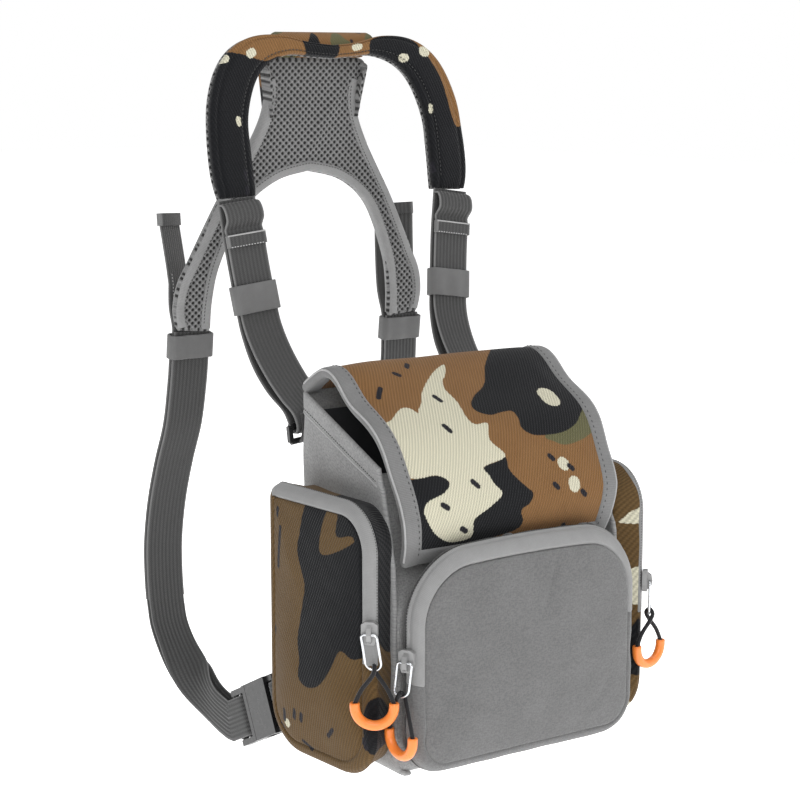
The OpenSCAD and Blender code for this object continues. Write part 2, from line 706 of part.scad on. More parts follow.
worn() pouch_shell();
worn() pouch_lining();
worn() base_board();
worn() back_pad();
worn() hinge_flap();
worn() lid();
worn() lid_binding();
worn() front_gusset();
worn() front_lower_band();
worn() front_zip_tape();
worn() front_panel();
worn() left_gusset();
worn() left_zip_tape();
worn() left_panel();
worn() other_side() left_gusset();  // right_gusset
worn() other_side() left_zip_tape();  // right_zip_tape
worn() other_side() left_panel();  // right_panel
worn() at_front() slider();  // front_slider
worn() at_front() pull_wire();  // front_pull_wire
worn() under_front() pull_cord(front_drop);  // front_pull_cord
worn() under_front() pull_grip(front_drop);  // front_pull_grip
worn() at_left() slider();  // left_slider
worn() at_left() pull_wire();  // left_pull_wire
worn() under_left() pull_cord(side_drop);  // left_pull_cord
worn() under_left() pull_grip(side_drop);  // left_pull_grip
worn() at_right() slider();  // right_slider
worn() at_right() pull_wire();  // right_pull_wire
worn() under_right() pull_cord(side_drop);  // right_pull_cord
worn() under_right() pull_grip(side_drop);  // right_pull_grip
worn() shoulder_pads();
worn() shoulder_mesh();
worn() yoke_mesh();
worn() yoke_cover();
worn() yoke_binding();
worn() {  // top_tabs
    at_right_strap() top_tab();
    at_left_strap() top_tab();
}
worn() {  // top_rings
    at_right_strap() top_ring();
    at_left_strap() top_ring();
}
worn() {  // side_tabs
    side_tab();
    other_side() side_tab();
}
worn() at_left_strap() front_strap();  // left_front_strap
worn() at_left_strap() front_keeper();  // left_front_keeper
worn() at_right_strap() front_strap();  // right_front_strap
worn() at_right_strap() front_keeper();  // right_front_keeper
worn() rear_strap();  // left_rear_strap
worn() rear_keeper();  // left_rear_keeper
worn() other_side() rear_strap();  // right_rear_strap
worn() other_side() rear_keeper();  // right_rear_keeper
worn() placed_buckle() socket();  // left_socket
worn() placed_buckle() plug();  // left_plug
worn() placed_buckle() prong();  // left_upper_prong
worn() placed_buckle() mirror([0, 0, 1]) prong();  // left_lower_prong
worn() strap_loop();  // left_strap_loop
worn() other_side() placed_buckle() socket();  // right_socket
worn() other_side() placed_buckle() plug();  // right_plug
worn() other_side() placed_buckle() prong();  // right_upper_prong
worn() other_side() placed_buckle() mirror([0, 0, 1]) prong();  // right_lower_prong
worn() other_side() strap_loop();  // right_strap_loop
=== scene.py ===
from math import cos, pi, radians, sin

import bmesh
import bpy
import numpy as np
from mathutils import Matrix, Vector

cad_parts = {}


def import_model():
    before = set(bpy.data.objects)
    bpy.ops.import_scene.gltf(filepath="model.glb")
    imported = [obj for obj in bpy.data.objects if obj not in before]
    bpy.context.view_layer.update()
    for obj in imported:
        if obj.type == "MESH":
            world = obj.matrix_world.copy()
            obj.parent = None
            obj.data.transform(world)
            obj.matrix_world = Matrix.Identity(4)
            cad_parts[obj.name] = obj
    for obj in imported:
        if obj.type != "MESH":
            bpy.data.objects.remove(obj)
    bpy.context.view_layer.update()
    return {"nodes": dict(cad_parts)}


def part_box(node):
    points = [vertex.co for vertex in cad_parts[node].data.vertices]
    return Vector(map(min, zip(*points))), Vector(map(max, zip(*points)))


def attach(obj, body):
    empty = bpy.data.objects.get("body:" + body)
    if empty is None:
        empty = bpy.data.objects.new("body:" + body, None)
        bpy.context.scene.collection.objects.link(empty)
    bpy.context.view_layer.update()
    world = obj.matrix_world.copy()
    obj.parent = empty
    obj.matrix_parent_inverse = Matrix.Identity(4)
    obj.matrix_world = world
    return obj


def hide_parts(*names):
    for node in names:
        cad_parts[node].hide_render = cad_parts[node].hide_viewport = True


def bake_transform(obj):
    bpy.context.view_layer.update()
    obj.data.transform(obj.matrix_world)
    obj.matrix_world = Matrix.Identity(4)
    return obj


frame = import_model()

# Everything is drawn in millimetres from the centre of the pouch's base, as in the CAD source, and
# moved to the frame by world(). x runs to the right as seen from the front, y towards the wearer.
low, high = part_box("pouch_shell")
BASE = np.array([(low[0] + high[0]) / 2, (low[1] + high[1]) / 2, low[2]])


def world(p):
    return np.asarray(p, float) / 1000 + BASE


# ---- Camera, floor and light ----

def aim(ob, at, target):
    d = target - at
    ob.location = at.tolist()
    ob.rotation_euler = Vector(d.tolist()).to_track_quat("-Z", "Y").to_euler()


def add(name, data):
    ob = bpy.data.objects.new(name, data)
    bpy.context.scene.collection.objects.link(ob)
    return ob


cam = bpy.data.cameras.new("camera")
cam.lens = 88.34
cam.sensor_width = 36
cam.clip_end = 20
eye = world([-649.7, -887.9, 382.2])
camera = add("camera", cam)
aim(camera, eye, eye + np.array([0.557, 0.813, -0.168]))
bpy.context.scene.camera = camera
bpy.context.scene.view_settings.view_transform = "Standard"


def lamp(name, at, size, power, target=(0, 0, 120)):
    light = bpy.data.lights.new(name, "AREA")
    light.size = size
    light.energy = power
    aim(add(name, light), world(at), world(target))


lamp("key", (-900, -1300, 900), 1.0, 10.5)
lamp("fill", (1100, -900, 500), 1.2, 4.5)
lamp("top", (0, -100, 1300), 1.0, 6)
lamp("back", (300, 1300, 700), 1.2, 6)
sky = bpy.data.worlds.new("sky")
bpy.context.scene.world = sky
sky.use_nodes = True
ground = sky.node_tree.nodes["Background"]
ground.inputs["Color"].default_value = (1, 1, 1, 1)
ground.inputs["Strength"].default_value = 1.0
seen = sky.node_tree.nodes.new("ShaderNodeLightPath")
level = sky.node_tree.nodes.new("ShaderNodeMapRange")
level.inputs[3].default_value = 0.32
level.inputs[4].default_value = 1.0
sky.node_tree.links.new(seen.outputs["Is Camera Ray"], level.inputs[0])
sky.node_tree.links.new(level.outputs[0], ground.inputs["Strength"])


# ---- Lines, grids and sweeps ----

def unit(v):
    v = np.asarray(v, float)
    return v / np.maximum(np.linalg.norm(v, axis=-1, keepdims=True), 1e-9)


def spline(p, n, wrap=False):
    """A smooth line through the points of p, n steps from each to the next."""
    p = np.asarray(p, float)
    m = len(p)
    t = (np.arange(n) / n)[:, None]
    out = []
    for i in range(m if wrap else m - 1):
        if wrap:
            a, b, c, d = p[i - 1], p[i], p[(i + 1) % m], p[(i + 2) % m]
        else:
            a, b, c, d = p[max(i - 1, 0)], p[i], p[i + 1], p[min(i + 2, m - 1)]
        out.append(0.5 * (2 * b + (c - a) * t + (2 * a - 5 * b + 4 * c - d) * t**2 + (3 * b - a - 3 * c + d) * t**3))
    if not wrap:
        out.append(p[-1:])
    return np.concatenate(out)


def measure(p):
    return np.concatenate([[0], np.cumsum(np.linalg.norm(np.diff(p, axis=0), axis=1))])


def at_length(p, s):
    m = measure(p)
    return np.stack([np.interp(s, m, p[:, k]) for k in range(p.shape[1])], -1)


def even(p, n):
    return at_length(p, np.linspace(0, measure(p)[-1], n))


def smooth(t):
    t = np.clip(t, 0, 1)
    return t * t * (3 - 2 * t)


rng = np.random.default_rng(7)
WAVES = [(unit(rng.normal(size=3)), rng.uniform(0, 2 * pi)) for _ in range(12)]


def ripple(p, size):
    """Smooth noise from about -1 to 1, with waves about size long."""
    return sum(np.sin(p @ d * (2 * pi / size) * (0.6 + 0.08 * i) + a) for i, (d, a) in enumerate(WAVES)) / 4.5


def grid(nu, nv, start=0, wrap_u=False, wrap_v=False):
    i, j = np.meshgrid(np.arange(nu - (not wrap_u)), np.arange(nv - (not wrap_v)), indexing="ij")
    a, b = (i + 1) % nu, (j + 1) % nv
    return (np.stack([i * nv + j, a * nv + j, a * nv + b, i * nv + b], -1).reshape(-1, 4) + start).tolist()


def merge(*geos):
    verts, faces, n = [], [], 0
    keys = set(geos[0][2])
    info = {k: [] for k in keys}
    for v, f, i in geos:
        verts.append(v)
        faces += [[q + n for q in face] for face in f]
        for k in keys:
            info[k].append(i[k])
        n += len(v)
    return np.concatenate(verts), faces, {k: np.concatenate(x) for k, x in info.items()}


def mirrored(geo):
    return geo[0] * [-1, 1, 1], geo[1], geo[2]


def slab(p, t, inside, weave, wrap=False, extra=None, relief=0.0):
    """A sheet of thickness t below the grid of points p, with a round rim; relief is how deep its face is dented."""
    nu, nv = p.shape[:2]
    du = np.roll(p, -1, 0) - np.roll(p, 1, 0) if wrap else np.gradient(p, axis=0)
    n = unit(np.cross(du, np.gradient(p, axis=1)))
    if np.sum(n * (p - np.asarray(inside, float))) < 0:
        n = -n
    info = {"weave": weave, **(extra or {})}
    info = {k: x.reshape(nu * nv, -1) for k, x in info.items()}
    top, normal = p.reshape(-1, 3), n.reshape(-1, 3)
    thick = np.broadcast_to(np.asarray(t, float), (nu, nv)).reshape(-1, 1)
    relief = np.broadcast_to(np.asarray(relief, float), (nu, nv)).reshape(-1, 1)
    verts = [top - normal * relief, top - normal * thick]
    faces = grid(nu, nv, 0, wrap) + grid(nu, nv, nu * nv, wrap)
    index = np.arange(nu * nv).reshape(nu, nv)
    if wrap:
        loops = [index[:, 0], index[:, -1]]
    else:
        loops = [np.concatenate([index[:-1, 0], index[-1, :-1], index[:0:-1, -1], index[0, :0:-1]])]
    count = 2 * nu * nv
    infos = {k: [x, x] for k, x in info.items()}
    for e in loops:
        i, j = e // nv, e % nv
        q = (i if wrap else np.clip(i, 1, nu - 2)) * nv + np.clip(j, 1, nv - 2)
        out = unit(top[e] - top[q])
        r = thick[e] / 2
        rings = [e]
        for a in (pi / 4, pi / 2, 3 * pi / 4):
            verts.append(top[e] + out * r * sin(a) - normal[e] * r * (1 - cos(a)))
            rings.append(np.arange(count, count + len(e)))
            for k in infos:
                infos[k].append(info[k][e])
            count += len(e)
        rings.append(e + nu * nv)
        for a, b in zip(rings, rings[1:]):
            faces += np.stack([a, np.roll(a, -1), np.roll(b, -1), b], 1).tolist()
    return np.concatenate(verts), faces, {k: np.concatenate(x) for k, x in infos.items()}


def sweep(path, side, prof, wrap=False):
    """A closed profile, in (along side, square to it), moved along a path."""
    path = np.asarray(path, float)
    n = len(path)
    tan = unit(np.roll(path, -1, 0) - np.roll(path, 1, 0)) if wrap else unit(np.gradient(path, axis=0))
    side = np.broadcast_to(np.asarray(side, float), (n, 3))
    s = unit(side - np.sum(side * tan, 1, keepdims=True) * tan)
    u = np.cross(tan, s)
    prof = np.asarray(prof, float)
    if prof.ndim == 2:
        prof = np.broadcast_to(prof, (n,) + prof.shape)
    m = prof.shape[1]
    verts = path[:, None] + prof[..., :1] * s[:, None] + prof[..., 1:] * u[:, None]
    run = np.broadcast_to(measure(path)[:, None], (n, m))
    weave = np.stack([prof[..., 0], run, prof[..., 1]], -1).reshape(-1, 3)
    faces = grid(n, m, 0, wrap, True)
    if not wrap:
        faces += [list(range(m))[::-1], list(range((n - 1) * m, n * m))]
    return verts.reshape(-1, 3), faces, {"weave": weave}


def circle(r, n=10):
    return [[r * cos(2 * pi * k / n), r * sin(2 * pi * k / n)] for k in range(n)]


def oblong(w, t, r, n=3):
    """A rounded rectangle."""
    return [[sx * (w / 2 - r) + r * cos(a), sy * (t / 2 - r) + r * sin(a)]
            for sx, sy, a0 in ((1, 1, 0), (-1, 1, 90), (-1, -1, 180), (1, -1, 270))
            for a in (radians(a0 + 90 * k / n) for k in range(n + 1))]


def ribbed(w, t, ribs=10):
    """The section of webbing: ribs on both faces and soft edges."""
    x = np.linspace(-w / 2 + 0.3, w / 2 - 0.3, 61)
    h = t / 2 * (0.86 + 0.14 * np.cos(2 * pi * x * ribs / w)) * (1 - np.abs(2 * x / w) ** 14)
    return np.concatenate([np.stack([x, h], 1), np.stack([x[::-1], -h[::-1]], 1)])


def tube(path, r, side=(0, 0, 1), n=10, wrap=False):
    return sweep(path, side, circle(r, n), wrap)


def pipe(path, side, stations, n=20):
    """A pipe round a flat path, drawn through (distance along it, radius) stations."""
    tan = unit(np.gradient(path, axis=0))
    s = measure(path)
    rings = []
    for d, r in stations:
        c = at_length(path, d)
        t = unit(np.array([np.interp(d, s, tan[:, k]) for k in range(3)]))
        u = np.cross(t, side)
        turns = [2 * pi * k / n for k in range(n)]
        rings.append([c + r * (cos(q) * np.asarray(side, float) + sin(q) * u) for q in turns])
    v = np.array(rings)
    faces = grid(len(v), n, 0, False, True) + [list(range(n)), list(range((len(v) - 1) * n, len(v) * n))]
    v = v.reshape(-1, 3)
    return v, faces, {"weave": v.copy()}


def stitches(path, out, pitch=2.2, length=1.5, r=0.3):
    """A row of thread ends along a line; out is the side of the cloth that it is seen from."""
    path = np.asarray(path, float)
    out = np.broadcast_to(np.asarray(out, float), path.shape)
    s = measure(path)
    verts, faces = [], []
    for c in np.arange(pitch / 2, s[-1] - pitch / 2, pitch):
        a, b = at_length(path, c - length / 2), at_length(path, c + length / 2)
        t = unit(b - a)
        o = unit(np.array([np.interp(c, s, out[:, k]) for k in range(3)]))
        x = np.cross(t, o)
        for f, q in ((0, 0.25), (0.15, 0.85), (0.5, 1), (0.85, 0.85), (1, 0.25)):
            for k in range(6):
                w = 2 * pi * k / 6
                verts.append(a + (b - a) * f + q * r * (cos(w) * o + sin(w) * x))
        n = len(verts) - 30
        faces += grid(5, 6, n, False, True) + [list(range(n, n + 6)), list(range(n + 24, n + 30))]
    v = np.array(verts)
    return v, faces, {"weave": v.copy()}


def disc(ring, centre, rows):
    """A closed pad: rows of (scale about the centre, offset) from the back to the front of a ring."""
    ring = np.asarray(ring, float)
    v = np.array([centre + (ring - centre) * s + np.asarray(o, float) for s, o in rows])
    n = len(ring)
    faces = grid(len(v), n, 0, False, True) + [list(range(n)), list(range((len(v) - 1) * n, len(v) * n))]
    return v.reshape(-1, 3), faces


def make(name, geo, mat, body, replaces=(), blend=None):
    verts, faces, info = geo
    mesh = bpy.data.meshes.new(name)
    mesh.from_pydata(world(verts).tolist(), [], faces)
    bm = bmesh.new()
    bm.from_mesh(mesh)
    bmesh.ops.recalc_face_normals(bm, faces=bm.faces)
    bm.to_mesh(mesh)
    bm.free()
    for key, value in info.items():
        value = np.asarray(value, float).reshape(len(verts), -1)
        kind, field = ("FLOAT_VECTOR", "vector") if value.shape[1] == 3 else ("FLOAT", "value")
        mesh.attributes.new(key, kind, "POINT").data.foreach_set(field, value.astype(np.float32).ravel())
    mesh.shade_smooth()
    mesh.set_sharp_from_angle(angle=radians(60))
    mesh.materials.append(mat)
    ob = add(name, mesh)
    if blend:
        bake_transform(ob)
    else:
        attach(ob, body)
    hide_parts(*replaces)
    return ob


# ---- Materials ----

def rgb(h):
    c = [int(h[i:i + 2], 16) / 255 for i in (1, 3, 5)]
    return tuple(x / 12.92 if x <= 0.04045 else ((x + 0.055) / 1.055) ** 2.4 for x in c) + (1,)


class Finish:
    """A Principled material, built from nodes."""

    def __init__(self, name, rough, **sockets):
        self.material = bpy.data.materials.new(name)
        self.material.use_nodes = True
        self.tree = self.material.node_tree
        self.shader = self.tree.nodes["Principled BSDF"]
        self.shader.inputs["Roughness"].default_value = rough
        for key, value in sockets.items():
            self.shader.inputs[key.replace("_", " ")].default_value = value

    def put(self, socket, value):
        if isinstance(value, bpy.types.NodeSocket):
            self.tree.links.new(value, socket)
        elif value is not None:
            socket.default_value = value

    def node(self, kind, *inputs, **props):
        n = self.tree.nodes.new("ShaderNode" + kind)
        for key, value in props.items():
            setattr(n, key, value)
        for i, value in enumerate(inputs):
            self.put(n.inputs[i], value)
        return n

    def math(self, op, a, b=None, c=None):
        return self.node("Math", a, b, c, operation=op).outputs[0]

    def mix(self, f, a, b, kind="MIX"):
        n = self.node("Mix", data_type="RGBA", blend_type=kind)
        for i, value in ((0, f), (6, a), (7, b)):
            self.put(n.inputs[i], value)
        return n.outputs[2]

    def span(self, v, a, b, lo=0.0, hi=1.0):
        return self.node("MapRange", v, a, b, lo, hi, interpolation_type="SMOOTHSTEP").outputs[0]

    def coords(self, sx=1.0, sy=1.0, sz=1.0):
        """The cloth's own surface, in millimetres."""
        a = self.node("Attribute", attribute_name="weave").outputs["Vector"]
        return self.node("VectorMath", a, (sx, sy, sz), operation="MULTIPLY").outputs[0]

    def place(self, scale=1000.0):
        a = self.node("TexCoord").outputs["Object"]
        return self.node("VectorMath", a, (scale,) * 3, operation="MULTIPLY").outputs[0]

    def noise(self, vec, scale, detail=2.0):
        n = self.node("TexNoise")
        self.put(n.inputs["Vector"], vec)
        n.inputs["Scale"].default_value = scale
        n.inputs["Detail"].default_value = detail
        return n.outputs[0]

    def wave(self, vec, axis, pitch, slant=0.0):
        parts = self.node("SeparateXYZ", vec)
        u, v = parts.outputs[axis], parts.outputs[1 - axis]
        if slant:
            u = self.math("ADD", u, self.math("MULTIPLY", v, slant))
        return self.math("SINE", self.math("MULTIPLY", u, 2 * pi / pitch))

    def shade(self, colour, by, low_by, high_by):
        """A colour made darker or lighter by a value from 0 to 1."""
        f = self.node("MapRange", by, 0.0, 1.0, low_by, high_by).outputs[0]
        grey = self.node("CombineColor", f, f, f).outputs[0]
        return self.mix(1.0, colour, grey, "MULTIPLY")

    def finish(self, colour, height=None, strength=0.3, depth=0.0004, rough=None):
        self.put(self.shader.inputs["Base Color"], colour)
        if rough is not None:
            self.put(self.shader.inputs["Roughness"], rough)
        if height is not None:
            b = self.node("Bump")
            b.inputs["Strength"].default_value = strength
            b.inputs["Distance"].default_value = depth
            self.put(b.inputs["Height"], height)
            self.tree.links.new(b.outputs[0], self.shader.inputs["Normal"])
        return self.material


def heather(name, colour, speck=0.34, pitch=1.0, sheen=0.25):
    """Fine two-tone cloth: short slubs along one thread, over a plain weave."""
    m = Finish(name, 0.88, Sheen_Weight=sheen, Sheen_Roughness=0.5, Specular_IOR_Level=0.25)
    slub = m.noise(m.coords(1.0, 0.45, 1.0), 1.25 / pitch, 3.0)
    cross = m.noise(m.coords(0.4, 1.1, 1.0), 1.0 / pitch, 3.0)
    broad = m.noise(m.coords(), 0.045, 2.0)
    weave = m.math("MULTIPLY", m.wave(m.coords(), 0, 0.9 * pitch, 0.5), m.wave(m.coords(), 1, 0.9 * pitch, -0.5))
    f = m.math("ADD", m.math("MULTIPLY", slub, 0.5), m.math("MULTIPLY", cross, 0.5))
    f = m.math("ADD", m.span(f, 0.36, 0.64), m.math("MULTIPLY", weave, 0.16))
    c = m.shade(rgb(colour), f, 1 - speck, 1 + speck)
    c = m.shade(c, broad, 0.86, 1.14)
    return m.finish(c, m.math("ADD", f, m.math("MULTIPLY", weave, 0.5)), 0.35, 0.0003)


def blotched(name, base="#7c5b38"):
    """Coarse slanted weave printed with blotches, whose outlines are the mesh's own layers."""
    m = Finish(name, 0.9, Sheen_Weight=0.1, Sheen_Roughness=0.5, Specular_IOR_Level=0.2)
    v = m.coords()
    a = m.wave(v, 0, 1.9, 0.42)
    b = m.wave(v, 1, 1.5, -0.2)
    h = m.math("ADD", m.math("MULTIPLY", a, 0.6), m.math("MULTIPLY", m.math("MULTIPLY", a, b), 0.4))
    fuzz = m.noise(v, 1.6, 3.0)
    edge = m.math("ADD", m.math("MULTIPLY", h, 0.22), m.math("MULTIPLY", m.math("SUBTRACT", fuzz, 0.5), 0.7))
    c = rgb(base)
    c = m.mix(m.noise(v, 0.05, 2.0), m.mix(1.0, c, (0.9, 0.86, 0.8, 1), "MULTIPLY"),
              m.mix(1.0, c, (1.1, 1.1, 1.1, 1), "MULTIPLY"))
    for layer, tone in (("olive", "#5d5b3f"), ("black", "#121316"), ("cream", "#c6c2ad"), ("ink", "#1d1c22")):
        d = m.node("Attribute", attribute_name=layer).outputs["Fac"]
        f = m.span(m.math("ADD", d, edge), -0.3, 0.3)
        c = m.mix(f, c, rgb(tone))
    c = m.shade(c, m.math("ADD", m.math("MULTIPLY", h, 0.5), 0.5), 0.72, 1.24)
    c = m.shade(c, fuzz, 0.8, 1.2)
    return m.finish(c, m.math("ADD", h, m.math("MULTIPLY", fuzz, 0.6)), 0.5, 0.0004)


def woven_tape(name, colour, ribs=1.1, contrast=0.2, rough=0.8, sheen=0.3):
    """Tape with fine cross ribs and a few pulled threads."""
    m = Finish(name, rough, Sheen_Weight=sheen, Sheen_Roughness=0.4, Specular_IOR_Level=0.3)
    rib = m.wave(m.coords(), 1, ribs)
    fibre = m.noise(m.coords(3.0, 0.7, 1.0), 1.1, 4.0)
    broad = m.noise(m.coords(), 0.11, 2.0)
    f = m.math("ADD", m.math("MULTIPLY", rib, 0.22), fibre)
    c = m.shade(rgb(colour), f, 1 - contrast, 1 + contrast)
    c = m.shade(c, broad, 0.88, 1.12)
    return m.finish(c, f, 0.4, 0.0003)


def strap_cloth(name, colour):
    """Webbing: the ribs are in the mesh, and this adds the slanted yarns, painted light and shade across the ribs, and
    lighter edges.
    """
    m = Finish(name, 0.7, Sheen_Weight=0.35, Sheen_Roughness=0.35, Specular_IOR_Level=0.35)
    v = m.coords()
    yarn = m.wave(v, 1, 1.3, 0.9)
    x = m.math("ABSOLUTE", m.node("SeparateXYZ", v).outputs[0])
    edge_band = m.span(x, 11.2, 12.4)
    rib_light_shade = m.math("MULTIPLY_ADD", m.wave(v, 0, 2.6), 0.5, 0.5)
    fibre = m.noise(m.coords(2.0, 0.6, 1.0), 1.4, 3.0)
    f = m.math("ADD", m.math("MULTIPLY", yarn, 0.2), fibre)
    c = m.shade(rgb(colour), f, 0.6, 1.5)
    # Painted light and shade across the ribs, at the ribs' own pitch.
    c = m.shade(c, rib_light_shade, 0.82, 1.2)
    # Lighter bands along both edges of the webbing.
    c = m.mix(m.math("MULTIPLY", edge_band, 0.35), c, rgb("#a8a8a8"))
    return m.finish(c, f, 0.45, 0.0003)


def net(name, colour, pitch_x=4.4, pitch_y=4.2):
    """Spacer mesh: rows of round holes, every other row shifted by half a pitch, with painted shade in the holes and
    around their edges.
    """
    m = Finish(name, 0.85, Sheen_Weight=0.2, Sheen_Roughness=0.5, Specular_IOR_Level=0.25)
    parts = m.node("SeparateXYZ", m.coords())
    ways = []
    for shift in (0.0, 0.5):
        d = []
        for axis, pitch in ((0, pitch_x), (1, pitch_y)):
            t = m.math("ADD", m.math("DIVIDE", parts.outputs[axis], pitch), shift)
            t = m.math("SUBTRACT", m.math("FRACT", t), 0.5)
            d.append(m.math("POWER", m.math("MULTIPLY", t, pitch), 2.0))
        ways.append(m.math("SQRT", m.math("ADD", d[0], d[1])))
    near = m.math("MINIMUM", ways[0], ways[1])
    # Painted shade: the holes are filled near black.
    hole_shade = m.span(near, 1.15, 0.75)
    rim = m.span(near, 1.9, 1.1)
    fibre = m.noise(m.coords(1.0, 2.0, 1.0), 1.2, 3.0)
    rib = m.wave(m.coords(), 1, 0.7)
    c = m.shade(rgb(colour), m.math("ADD", fibre, m.math("MULTIPLY", rib, 0.12)), 0.72, 1.28)
    # Painted shade: the face darkens towards each hole's edge.
    c = m.shade(c, rim, 1.06, 0.7)
    c = m.mix(hole_shade, c, rgb("#232323"))
    return m.finish(c, m.math("SUBTRACT", 1.0, rim), 0.8, 0.0009)


def plain(name, colour, rough, grain=0.1, scale=0.6, depth=0.0002, **sockets):
    """Moulded or cast: a slight mottle and grain, and a little variation in the gloss."""
    m = Finish(name, rough, **sockets)
    p = m.place()
    mottle = m.noise(p, scale, 4.0)
    fine = m.noise(p, scale * 6, 3.0)
    c = m.shade(rgb(colour), mottle, 1 - grain, 1 + grain)
    r = m.node("MapRange", mottle, 0.3, 0.7, rough * 0.8, rough * 1.25).outputs[0]
    return m.finish(c, fine, 0.15, depth, r)


GREY = heather("grey_cloth", "#6c6c6c", 0.16, 0.8)
GREY_DARK = heather("grey_cloth_edge", "#484848", 0.3)
WALL = heather("wall_cloth", "#929292", 0.22, 0.9)
CAMO = blotched("blotched_cloth")
# A darker copy of the blotched cloth for the side pockets: painted shade on the pouch's sides.
CAMO_SHADED = blotched("blotched_cloth_shaded", "#5c482c")
TAPE = woven_tape("zip_tape", "#8c8c8c", 0.8, 0.1, 0.55, 0.15)
BINDING = woven_tape("binding", "#787878", 0.9, 0.22)
BINDING_LIGHT = woven_tape("yoke_binding", "#8e8e8e", 0.9, 0.2)
PIPING = woven_tape("piping", "#a9a9a9", 0.7, 0.2)
ELASTIC = woven_tape("elastic", "#686868", 0.8, 0.1, 0.65)
WEBBING = strap_cloth("webbing", "#424242")
MESH = net("air_mesh", "#8d8d8d")
PAD_MESH = net("pad_mesh", "#6b6d70", 3.4, 3.2)
LINING = woven_tape("lining", "#3e4043", 0.6, 0.15, 0.6)
THREAD = plain("thread", "#b4b4b4", 0.7, 0.15, 1.5)
THREAD_DARK = plain("thread_dark", "#3c3c3c", 0.7, 0.15, 1.5)
CORD = woven_tape("pull_cord", "#17171a", 1.1, 0.35, 0.6)
RUBBER = plain("rubber", "#f98a3a", 0.33, 0.06, 0.25, 0.0001, Coat_Weight=0.25, Coat_Roughness=0.2)
BLACK = plain("black_plastic", "#141415", 0.3, 0.2, 0.3, 0.0001, Specular_IOR_Level=0.6)
BOARD = plain("board", "#262626", 0.8, 0.2, 0.5)
CAST = plain("cast_metal", "#969696", 0.42, 0.12, 0.7, 0.0001, Metallic=0.35)
STEEL = plain("steel_wire", "#d9dbde", 0.22, 0.05, 0.5, 0.0001, Metallic=1.0)


# ---- Blotches ----

def blob(*pts):
    return spline(pts, 4, True), None


def stroke(r, *pts):
    return spline(pts, 4), r


def spread(shapes, uv):
    """How far each point lies inside the shapes, in millimetres, negative outside."""
    best = np.full(len(uv), -6.0)
    for line, r in shapes:
        lo, hi = line.min(0) - 7, line.max(0) + 7
        near = np.all((uv > lo) & (uv < hi), axis=1)
        if not near.any():
            continue
        p = uv[near]
        a = line if r is None else line[:-1]
        b = np.roll(line, -1, 0) if r is None else line[1:]
        ab = b - a
        ap = p[:, None] - a
        t = np.clip(np.sum(ap * ab, 2) / np.maximum(np.sum(ab * ab, 1), 1e-9), 0, 1)
        d = np.sqrt(np.min(np.sum((ap - t[..., None] * ab) ** 2, 2), 1))
        if r is None:
            cross = (a[:, 1] > p[:, 1:2]) != (b[:, 1] > p[:, 1:2])
            x = a[:, 0] + (p[:, 1:2] - a[:, 1]) * ab[:, 0] / np.where(np.abs(ab[:, 1]) < 1e-9, 1e-9, ab[:, 1])
            inside = np.sum(cross & (p[:, :1] < x), 1) % 2 == 1
            d = np.where(inside, d, -d)
        else:
            d = r - d
        best[near] = np.maximum(best[near], d)
    return np.clip(best, -6, 6)


def layers(uv, olive=(), black=(), cream=(), ink=()):
    uv = np.asarray(uv, float).reshape(-1, 2)
    return {"olive": spread(olive, uv), "black": spread(black, uv), "cream": spread(cream, uv), "ink": spread(ink, uv)}


def scattered(seed, u0, u1, v0, v1, step=34):
    """Blotches of no particular plan, one near each crossing of a grid."""
    r = np.random.default_rng(seed)
    out = {"olive": [], "black": [], "cream": [], "ink": []}
    for v in np.arange(v0, v1 + step, step):
        for u in np.arange(u0, u1 + step, step):
            kind = ("black", "cream", "olive", "black")[r.integers(4)]
            c = np.array([u, v]) + r.uniform(-8, 8, 2)
            k = r.uniform(0.55, 1.3, 9) * step * (0.42 if kind == "black" else 0.28)
            a = np.arange(9) * 2 * pi / 9 + r.uniform(0, 1)
            out[kind].append((spline(c + np.stack([np.cos(a), 1.3 * np.sin(a)], 1) * k[:, None], 4, True), None))
            d = c + r.uniform(-12, 12, 2)
            out["ink"].append((spline([d, d + r.uniform(-4, 4, 2), d + [0, 6]], 4), r.uniform(0.6, 1.2)))
    return out


